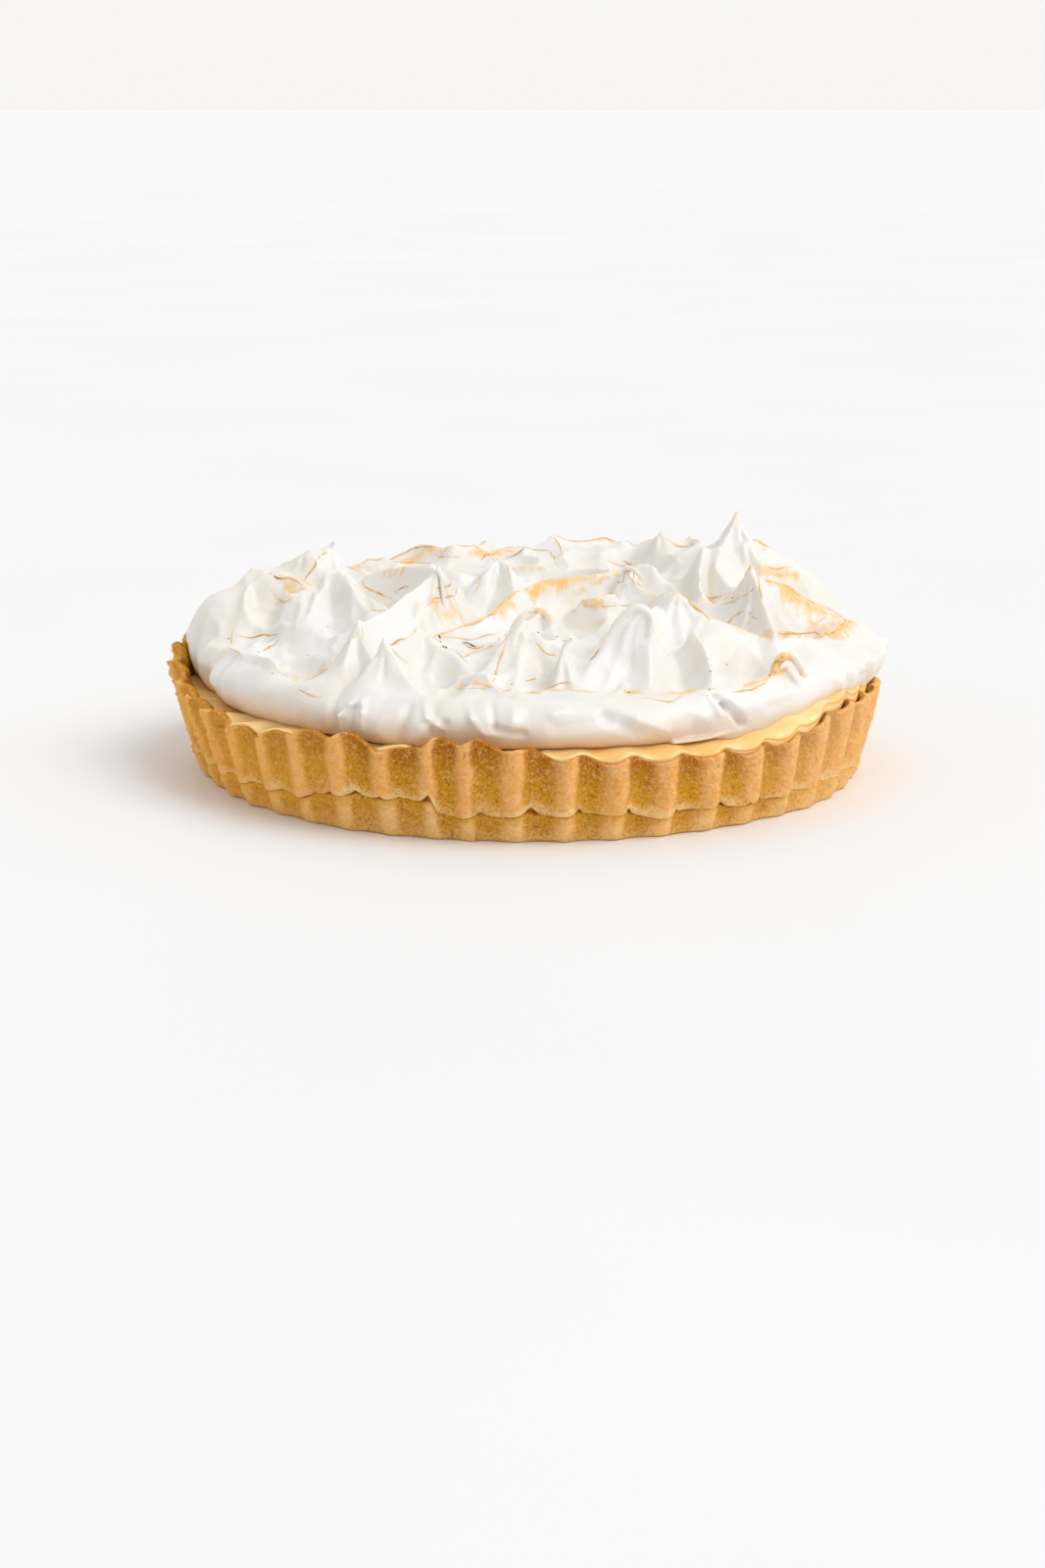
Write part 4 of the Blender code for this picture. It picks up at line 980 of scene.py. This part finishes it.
def melted(points, faces):
    """The joined solid as one even skin, with fewer triangles where it is flat."""
    mesh = bpy.data.meshes.new("raw")
    mesh.from_pydata(points.tolist(), [], faces)
    source = bpy.data.objects.new("raw", mesh)
    bpy.context.scene.collection.objects.link(source)
    remesh = source.modifiers.new("even", "REMESH")
    remesh.mode = "VOXEL"
    remesh.voxel_size = VOXEL
    relax = source.modifiers.new("relax", "SMOOTH")
    relax.factor = 0.4
    relax.iterations = 1

    def modified():
        return bpy.data.meshes.new_from_object(source.evaluated_get(bpy.context.evaluated_depsgraph_get()))

    skin = modified()
    triangles = 2 * len(skin.polygons)
    if triangles > MOST_TRIANGLES:
        source.modifiers.new("fewer", "DECIMATE").ratio = MOST_TRIANGLES / triangles
        skin = modified()
    bpy.data.objects.remove(source)
    corners = np.empty(3 * len(skin.vertices), np.float32)
    skin.vertices.foreach_get("co", corners)
    return corners.reshape(-1, 3).astype(float), [list(face.vertices) for face in skin.polygons]


def blurred(grid, times):
    """A grid of numbers smoothed by averaging neighbours."""
    for _ in range(times):
        wide = np.pad(grid, 1, mode="edge")
        grid = (wide[:-2, 1:-1] + wide[2:, 1:-1] + wide[1:-1, :-2] + wide[1:-1, 2:] + grid) / 5.0
    return grid


def nearest_values(points, sources, values):
    """For each point, the value of the nearest source point."""
    tree = KDTree(len(sources))
    for number, place in enumerate(sources):
        tree.insert(place, number)
    tree.balance()
    return values[[tree.find(place)[1] for place in points]]


def crest_points(tree, points):
    """The crest on the finished surface that a ridge's line follows, seen from above."""
    line = smooth_line(points, 1.6)
    along = np.gradient(line, axis=0)
    along /= np.maximum(np.hypot(along[:, 0], along[:, 1]), 1e-6)[:, None]
    crest = []
    for place, (ahead, aside, _) in zip(line, along):
        found = []
        for shift in np.arange(-2.4, 2.5, 0.4):
            above = (place[0] - aside * shift, place[1] + ahead * shift, 95.0)
            hit = tree.ray_cast(above, (0, 0, -1))[0]
            if hit is not None:
                found.append(hit)
        if found:
            crest.append(max(found, key=lambda spot: spot.z))
    return np.array(crest)


def laid_line(tree, points, half, burn, seed):
    """A thin toasted line laid on the surface, coming and going: corners, faces and each corner's burn."""
    line = smooth_line(points, 0.55)
    line = line + 0.35 * np.stack([soft_noise(line, 4.0, seed + k) for k in range(3)], axis=-1)
    spots = [tree.find_nearest(place)[:2] for place in line]
    line = np.array([spot[0] for spot in spots])
    line[1:-1] = (line[:-2] + line[1:-1] + line[2:]) / 3.0
    normal = np.array([spot[1] for spot in spots])
    along = np.gradient(line, axis=0)
    along /= np.maximum(np.linalg.norm(along, axis=1), 1e-6)[:, None]
    side = np.cross(along, normal)
    side /= np.maximum(np.linalg.norm(side, axis=1), 1e-6)[:, None]
    share = np.linspace(0.0, 1.0, len(line))
    strength = 0.85 + 0.6 * soft_noise(line, 5.0, seed + 3) + 0.3 * soft_noise(line, 1.6, seed + 4)
    size = 0.85 * half * np.clip(strength, 0.1, 1.3) * np.sqrt(np.clip(np.sin(math.pi * share), 0.004, 1.0))
    turn = np.arange(LINE_SIDES)[None, :, None] * 2 * math.pi / LINE_SIDES
    spread = np.cos(turn) * side[:, None] + 0.55 * np.sin(turn) * normal[:, None]
    rings = line[:, None] + size[:, None, None] * spread
    burnt = np.clip(burn + 0.35 * soft_noise(line, 3.0, seed + 5), 0.0, 1.0)
    return rings.reshape(-1, 3), tube_faces(len(line), LINE_SIDES, flip=True), np.repeat(burnt, LINE_SIDES)


def make_toasted_lines(tree, material):
    lines = [laid_line(tree, points, half, burn, 100 + 10 * number)
             for number, (points, half, burn) in enumerate(TOAST_LINES + BURNT_LINES)]
    for number, (points, _, _, _, toasted, _) in enumerate(RIDGES):
        if toasted >= LINE_TOAST and np.mean(points, axis=0)[1] > BACK_FROM:
            crest = crest_points(tree, points)
            lines.append(laid_line(tree, crest[::3], 0.42, 0.2 + 0.35 * toasted, 2000 + 10 * number))
    points, faces = joined([line[:2] for line in lines])
    burn = np.concatenate([line[2] for line in lines])
    piece_from("toasted_lines", points, faces, material, {"burn": burn})


def make_burnt_specks(tree, material):
    """Small rough crumbs of burnt sugar, half sunk into the surface."""
    specks = []
    for number, (x, y, z, size) in enumerate(BURNT):
        place = np.array(tree.find_nearest((x, y, z))[0])
        ball = bpy.data.meshes.new("ball")
        shape = bmesh.new()
        bmesh.ops.create_icosphere(shape, subdivisions=2, radius=0.5 * size)
        shape.to_mesh(ball)
        shape.free()
        corners = np.array([corner.co for corner in ball.vertices])
        rough = 1.0 + 0.35 * soft_noise(corners + 7.0 * number, 0.35 * size, 60)
        faces = [list(face.vertices) for face in ball.polygons]
        specks.append((place + corners * rough[:, None] * (1.2, 1.0, 0.7), faces))
        bpy.data.meshes.remove(ball)
    points, faces = joined(specks)
    piece_from("burnt_specks", points, faces, material, {"burn": np.ones(len(points))})


def make_drip(material):
    """The thread that hangs off the sail; its material looks up the same values as the meringue's."""
    corners, faces = swept(*DRIP)
    plain = np.zeros(len(corners))
    piece_from("meringue_thread", corners, faces, material,
               {"toast": plain, "golden": plain, "proud": plain, "foot": plain})


def make_meringue(material):
    """Make the meringue, and return its surface as a tree to lay toasted lines and specks on."""
    side = SKIN_SIDE
    skin, toast, golden = meringue_skin(side)
    count = side * side
    border = list(range(side)) + list(range(2 * side - 1, count, side))
    border += list(range(count - 2, count - side - 1, -1)) + list(range(count - 2 * side, 0, -side))
    body = (skin.reshape(-1, 3), grid_faces(side, side, False).tolist() + [border[::-1]])
    points, faces = melted(*joined([body] + [swept(*curl) for curl in CURLS + (SMEAR,)]))
    proud = skin[..., 2] - blurred(skin[..., 2], 60)      # how far a point stands above its surroundings
    values = np.stack([toast.ravel(), golden.ravel(), proud.ravel()], axis=-1)
    toast, golden, proud = nearest_values(points, body[0], values).T
    foot = smooth_step((42.0 - points[:, 2]) / 13.0)      # 1 at the foot of the skirt, where the curd's colour is painted on as bounce light and shade
    piece = piece_from("meringue_top", points, faces, material,
                       {"toast": toast, "golden": golden, "proud": proud, "foot": foot})
    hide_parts("meringue")
    return BVHTree.FromPolygons(points.tolist(), faces)


# ---------------------------------------------------------------- materials

def srgb(red, green, blue):
    """Linear colour for one given as it looks on a screen, from 0 to 255."""
    def linear(value):
        value /= 255.0
        return value / 12.92 if value <= 0.04045 else ((value + 0.055) / 1.055) ** 2.4
    return (linear(red), linear(green), linear(blue), 1.0)


CRUST_SANDY = srgb(248, 186, 116)
CRUST_GOLDEN = srgb(243, 174, 88)
CRUST_OCHRE = srgb(210, 148, 24)
CRUST_BROWN = srgb(176, 106, 4)
CRUST_FOLD_SHADE = srgb(222, 164, 34)
CRUST_LIP = srgb(255, 224, 156)
CRUST_LEFT_SHADE = srgb(255, 190, 80)
CRUST_RIGHT_LIGHT = srgb(255, 205, 142)
CRUST_SPECK_AND_PIT_SHADE = srgb(128, 70, 6)
CRUST_GRAIN = srgb(255, 220, 160)
CRUST_CRACK = srgb(118, 42, 8)
CURD_PALE = srgb(255, 216, 148)
CURD_DEEP = srgb(255, 203, 122)
CURD_EDGE_SHADE = srgb(224, 158, 72)
MERINGUE_WHITE = srgb(235, 233, 230)
MERINGUE_CREAM = srgb(233, 228, 220)
MERINGUE_HOLLOW_SHADE = srgb(228, 214, 186)
MERINGUE_FOOT_BOUNCE = srgb(224, 203, 178)
GOLDEN_TOAST_AND_SHADE = srgb(240, 192, 116)
TOAST_BROWN = srgb(200, 120, 40)
LINE_GOLDEN = srgb(246, 216, 158)
LINE_ORANGE = srgb(236, 184, 110)
LINE_BROWN = srgb(208, 146, 74)
LINE_BURNT = srgb(58, 26, 10)


class Nodes:
    """Short helpers for building the node tree of a material or of the world."""

    def __init__(self, owner):
        self.owner = owner
        owner.use_nodes = True
        self.tree = owner.node_tree
        self.shader = self.tree.nodes.get("Principled BSDF") or self.tree.nodes["Background"]

    def add(self, kind, **settings):
        node = self.tree.nodes.new(kind)
        for key, value in settings.items():
            setattr(node, key, value)
        return node

    def put(self, value, socket):
        if isinstance(value, bpy.types.NodeSocket):
            self.tree.links.new(value, socket)
        else:
            socket.default_value = value

    def value(self, name):
        return self.add("ShaderNodeAttribute", attribute_name=name).outputs["Fac"]

    def noise(self, scale, detail=2.0, roughness=0.5, stretch=None):
        """Noise in object space; scale is in bumps per metre."""
        place = self.add("ShaderNodeTexCoord").outputs["Object"]
        if stretch:
            mapping = self.add("ShaderNodeMapping")
            mapping.inputs["Scale"].default_value = stretch
            self.put(place, mapping.inputs["Vector"])
            place = mapping.outputs["Vector"]
        node = self.add("ShaderNodeTexNoise")
        self.put(place, node.inputs["Vector"])
        node.inputs["Scale"].default_value = scale
        node.inputs["Detail"].default_value = detail
        node.inputs["Roughness"].default_value = roughness
        return node.outputs["Fac"]

    def math(self, operation, first, second=0.0, third=None):
        node = self.add("ShaderNodeMath", operation=operation)
        self.put(first, node.inputs[0])
        self.put(second, node.inputs[1])
        if third is not None:
            self.put(third, node.inputs[2])
        return node.outputs[0]

    def ramp(self, value, low, high, out_low=0.0, out_high=1.0):
        """Smooth rise of value between low and high."""
        node = self.add("ShaderNodeMapRange", interpolation_type="SMOOTHSTEP")
        self.put(value, node.inputs["Value"])
        for key, number in (("From Min", low), ("From Max", high), ("To Min", out_low), ("To Max", out_high)):
            node.inputs[key].default_value = number
        return node.outputs["Result"]

    def mix(self, share, first, second):
        node = self.add("ShaderNodeMix", data_type="RGBA")
        self.put(share, node.inputs[0])
        self.put(first, node.inputs[6])
        self.put(second, node.inputs[7])
        return node.outputs[2]

    def bump(self, height, strength, distance, before=None):
        node = self.add("ShaderNodeBump")
        node.inputs["Strength"].default_value = strength
        node.inputs["Distance"].default_value = distance
        self.put(height, node.inputs["Height"])
        if before is not None:
            self.put(before, node.inputs["Normal"])
        return node.outputs["Normal"]

    def set(self, **values):
        for key, value in values.items():
            self.put(value, self.shader.inputs[key.replace("_", " ")])


def crust_material():
    n = Nodes(bpy.data.materials.new("baked_crust"))
    up, patch, kind = n.value("up"), n.value("patch"), n.value("kind")
    broad = n.math("MULTIPLY_ADD", n.noise(130, 3.0), 0.5, -0.25)
    high = n.math("ADD", up, broad)
    wall = n.ramp(kind, 0.4, 0.6)
    # pale sandy crests, ochre grooves that are darkest near the rim, pale lip along the fold
    sandy = n.mix(n.ramp(n.noise(300, 3.0), 0.35, 0.65), CRUST_SANDY, CRUST_GOLDEN)
    ochre = n.mix(n.ramp(high, 0.35, 0.95), CRUST_OCHRE, CRUST_BROWN)
    face = n.mix(n.math("MULTIPLY", patch, n.ramp(high, -0.05, 0.35, 0.45, 1.0)), sandy, ochre)
    face = n.mix(n.ramp(high, -0.02, 0.18, 0.85, 0.0), face, CRUST_LIP)
    pale = n.mix(0.35, sandy, CRUST_LIP)
    strip = n.mix(n.math("MULTIPLY", patch, n.ramp(high, -0.1, 0.6, 0.3, 0.9)), pale, CRUST_OCHRE)
    # painted shade: the top of the base strip, under the fold's overhang, is painted olive
    strip = n.mix(n.ramp(high, 0.55, 1.05, 0.0, 0.75), strip, CRUST_FOLD_SHADE)
    colour = n.mix(wall, strip, face)
    dark_specks = n.math("MULTIPLY", n.ramp(n.noise(1100, 3.0, 0.75), 0.47, 0.72),
                         n.math("MULTIPLY_ADD", patch, 0.5, 0.3))
    colour = n.mix(dark_specks, colour, CRUST_SPECK_AND_PIT_SHADE)
    light_grains = n.ramp(n.noise(900, 3.0, 0.75), 0.48, 0.70)
    colour = n.mix(n.math("MULTIPLY", light_grains, 0.42), colour, CRUST_GRAIN)
    # painted light and shade: the right side is painted paler, as if lit more, and the left a deeper orange,
    # as it looks in shade
    side = n.value("side")
    colour = n.mix(n.ramp(side, -0.35, -0.85, 0.0, 0.4), colour, CRUST_LEFT_SHADE)
    colour = n.mix(n.ramp(side, 0.45, 0.95, 0.0, 0.36), colour, CRUST_RIGHT_LIGHT)
    inside = n.ramp(kind, 1.4, 1.9)
    reddish = n.mix(n.ramp(n.noise(160, 3.0), 0.4, 0.6), CRUST_OCHRE, CRUST_CRACK)
    colour = n.mix(n.math("MULTIPLY", inside, 0.75), colour, reddish)
    # painted shade: the small pits in the crust are painted darker
    colour = n.mix(n.ramp(n.value("pit"), 0.1, 0.6, 0.0, 0.5), colour, CRUST_SPECK_AND_PIT_SHADE)
    fine = n.bump(n.noise(1500, 3.0, 0.7), 0.7, 0.0006)
    n.set(Base_Color=colour, Roughness=n.ramp(n.noise(900), 0.3, 0.7, 0.6, 0.85), Specular_IOR_Level=0.12,
          Normal=n.bump(n.noise(600, 2.0), 0.6, 0.001, fine))
    return n.owner


def curd_material():
    n = Nodes(bpy.data.materials.new("lemon_curd"))
    colour = n.mix(n.ramp(n.noise(70, 3.0), 0.35, 0.65), CURD_PALE, CURD_DEEP)
    # painted shade: the outermost edge of the curd, against the crust, is painted darker
    colour = n.mix(n.ramp(n.value("outward"), 0.985, 1.0), colour, CURD_EDGE_SHADE)
    n.set(Base_Color=colour, Roughness=n.ramp(n.noise(300), 0.3, 0.7, 0.14, 0.26), Coat_Weight=0.2,
          Coat_Roughness=0.1, Subsurface_Weight=0.3, Subsurface_Scale=0.003,
          Normal=n.bump(n.noise(160, 2.0), 0.12, 0.001))
    n.shader.inputs["Subsurface Radius"].default_value = (1.0, 0.6, 0.25)
    return n.owner


def meringue_material():
    n = Nodes(bpy.data.materials.new("toasted_meringue"))
    toast, golden, proud, foot = n.value("toast"), n.value("golden"), n.value("proud"), n.value("foot")
    patchy = n.noise(95, 3.0, 0.6)
    fine = n.noise(620, 3.0, 0.6)
    broken = n.math("ADD", n.ramp(patchy, 0.40, 0.62), n.math("MULTIPLY", fine, 0.5))
    line = n.math("MULTIPLY", toast, broken)
    streaks = n.math("ADD", n.noise(210, 3.0, 0.6), n.noise(560, 3.0, 0.65, (1.0, 0.25, 0.3)))
    brushed = n.ramp(n.math("MULTIPLY_ADD", streaks, 0.9, golden), 1.05, 1.8)
    white = n.mix(n.ramp(n.noise(40, 2.0), 0.35, 0.65), MERINGUE_WHITE, MERINGUE_CREAM)
    # painted shade: hollows, where the surface lies below its surroundings, are painted a darker cream
    white = n.mix(n.ramp(proud, -0.4, -3.0), white, MERINGUE_HOLLOW_SHADE)
    # painted bounce light and shade: the skirt's foot is tinted peach, as if the curd's colour were reflected
    # up onto it
    white = n.mix(foot, white, MERINGUE_FOOT_BOUNCE)
    # the golden brushes include one of painted shade, inside the folded cup
    colour = n.mix(n.math("MULTIPLY", brushed, n.ramp(golden, 0.02, 0.25)), white, GOLDEN_TOAST_AND_SHADE)
    colour = n.mix(n.ramp(line, 0.15, 0.7, 0.0, 0.75), colour, GOLDEN_TOAST_AND_SHADE)
    colour = n.mix(n.ramp(line, 0.75, 1.3), colour, TOAST_BROWN)
    n.set(Base_Color=colour, Roughness=n.ramp(n.noise(200), 0.3, 0.7, 0.30, 0.44), Specular_IOR_Level=0.5,
          Subsurface_Weight=0.35, Subsurface_Scale=0.002, Normal=n.bump(n.noise(330, 3.0), 0.12, 0.0008))
    n.shader.inputs["Subsurface Radius"].default_value = (1.0, 0.85, 0.6)
    return n.owner


def toast_line_material():
    n = Nodes(bpy.data.materials.new("toasted_sugar"))
    burn = n.math("ADD", n.value("burn"), n.math("MULTIPLY", n.math("SUBTRACT", n.noise(700, 2.0), 0.5), 0.3))
    colour = n.mix(n.ramp(burn, 0.1, 0.45), LINE_GOLDEN, LINE_ORANGE)
    colour = n.mix(n.ramp(burn, 0.45, 0.72), colour, LINE_BROWN)
    colour = n.mix(n.ramp(burn, 0.78, 1.0), colour, LINE_BURNT)
    n.set(Base_Color=colour, Roughness=0.45, Specular_IOR_Level=0.4)
    return n.owner


def floor_material():
    n = Nodes(bpy.data.materials.new("studio_floor"))
    colour = n.mix(n.ramp(n.noise(4, 2.0), 0.3, 0.7), *FLOOR_COLOURS)
    n.set(Base_Color=colour, Roughness=0.6, Specular_IOR_Level=0.2)
    return n.owner


# ---------------------------------------------------------------- stage, light and camera

CAMERA_ELEVATION = 13.1        # of the line from the pie's base to the lens, in degrees
CAMERA_DISTANCE = 1.02         # metres from the middle of the base
CAMERA_TILT = 13.596           # below the horizon
CAMERA_YAW = 0.159             # to the left
LENS, SENSOR = 65.03, 36.0     # millimetres; the sensor's is that of its long side
FLOOR_SIZE = 60.0              # metres from the middle to each edge
FLOOR_COLOURS = ((0.84, 0.846, 0.858, 1.0), (0.855, 0.861, 0.873, 1.0))
WORLD_COLOUR = (1.0, 0.99, 0.972, 1.0)
BRIGHT_TOWARDS = (0.55, 0.65, 0.3)   # the world is brighter to the right, the back and above
DIM_SIDE = 0.64
BRIGHT_SIDE = 0.86
HORIZON = 0.93                 # brightness of the world at the floor's far edge
KEY_STRENGTH = 1.38
KEY_AZIMUTH, KEY_ELEVATION, KEY_SOFTNESS = 68.0, 50.0, 45.0   # degrees


def make_stage():
    mesh = bpy.data.meshes.new("studio_floor")
    corners = [(x * FLOOR_SIZE, y * FLOOR_SIZE, 0) for x, y in ((-1, -1), (1, -1), (1, 1), (-1, 1))]
    mesh.from_pydata(corners, [], [(0, 1, 2, 3)])
    mesh.materials.append(floor_material())
    floor = bpy.data.objects.new("studio_floor", mesh)
    bpy.context.scene.collection.objects.link(floor)


def make_lights():
    n = Nodes(bpy.data.worlds.new("studio"))
    place = n.add("ShaderNodeTexCoord").outputs["Generated"]
    towards = n.add("ShaderNodeVectorMath", operation="DOT_PRODUCT")
    n.put(place, towards.inputs[0])
    n.put(BRIGHT_TOWARDS, towards.inputs[1])
    axes = n.add("ShaderNodeSeparateXYZ")
    n.put(place, axes.inputs["Vector"])
    side = n.ramp(towards.outputs["Value"], -0.9, 0.6, DIM_SIDE, BRIGHT_SIDE)
    # the horizon is as bright as the floor, so that they run into each other
    haze = n.ramp(axes.outputs["Z"], 0.05, 0.22, HORIZON, 0.0)
    n.set(Strength=n.math("MAXIMUM", side, haze), Color=WORLD_COLOUR)
    bpy.context.scene.world = n.owner

    key = bpy.data.lights.new("key_light", "SUN")
    key.energy = KEY_STRENGTH
    key.angle = math.radians(KEY_SOFTNESS)
    lamp = bpy.data.objects.new("key_light", key)
    lamp.rotation_euler = (math.radians(90.0 - KEY_ELEVATION), 0.0, math.radians(KEY_AZIMUTH))
    bpy.context.scene.collection.objects.link(lamp)


def make_camera():
    elevation = math.radians(CAMERA_ELEVATION)
    data = bpy.data.cameras.new("camera")
    data.lens = LENS
    data.sensor_width = SENSOR
    camera = bpy.data.objects.new("camera", data)
    camera.location = (0.0, -CAMERA_DISTANCE * math.cos(elevation), CAMERA_DISTANCE * math.sin(elevation))
    camera.rotation_euler = (math.radians(90.0 - CAMERA_TILT), 0.0, math.radians(CAMERA_YAW))
    bpy.context.scene.collection.objects.link(camera)
    bpy.context.scene.camera = camera


make_stage()
make_lights()
make_camera()
make_crust(crust_material())
make_filling(curd_material())
meringue = meringue_material()
skin_tree = make_meringue(meringue)
toasted_sugar = toast_line_material()
make_toasted_lines(skin_tree, toasted_sugar)
make_burnt_specks(skin_tree, toasted_sugar)
make_drip(meringue)
bpy.context.scene.view_settings.view_transform = "Standard"
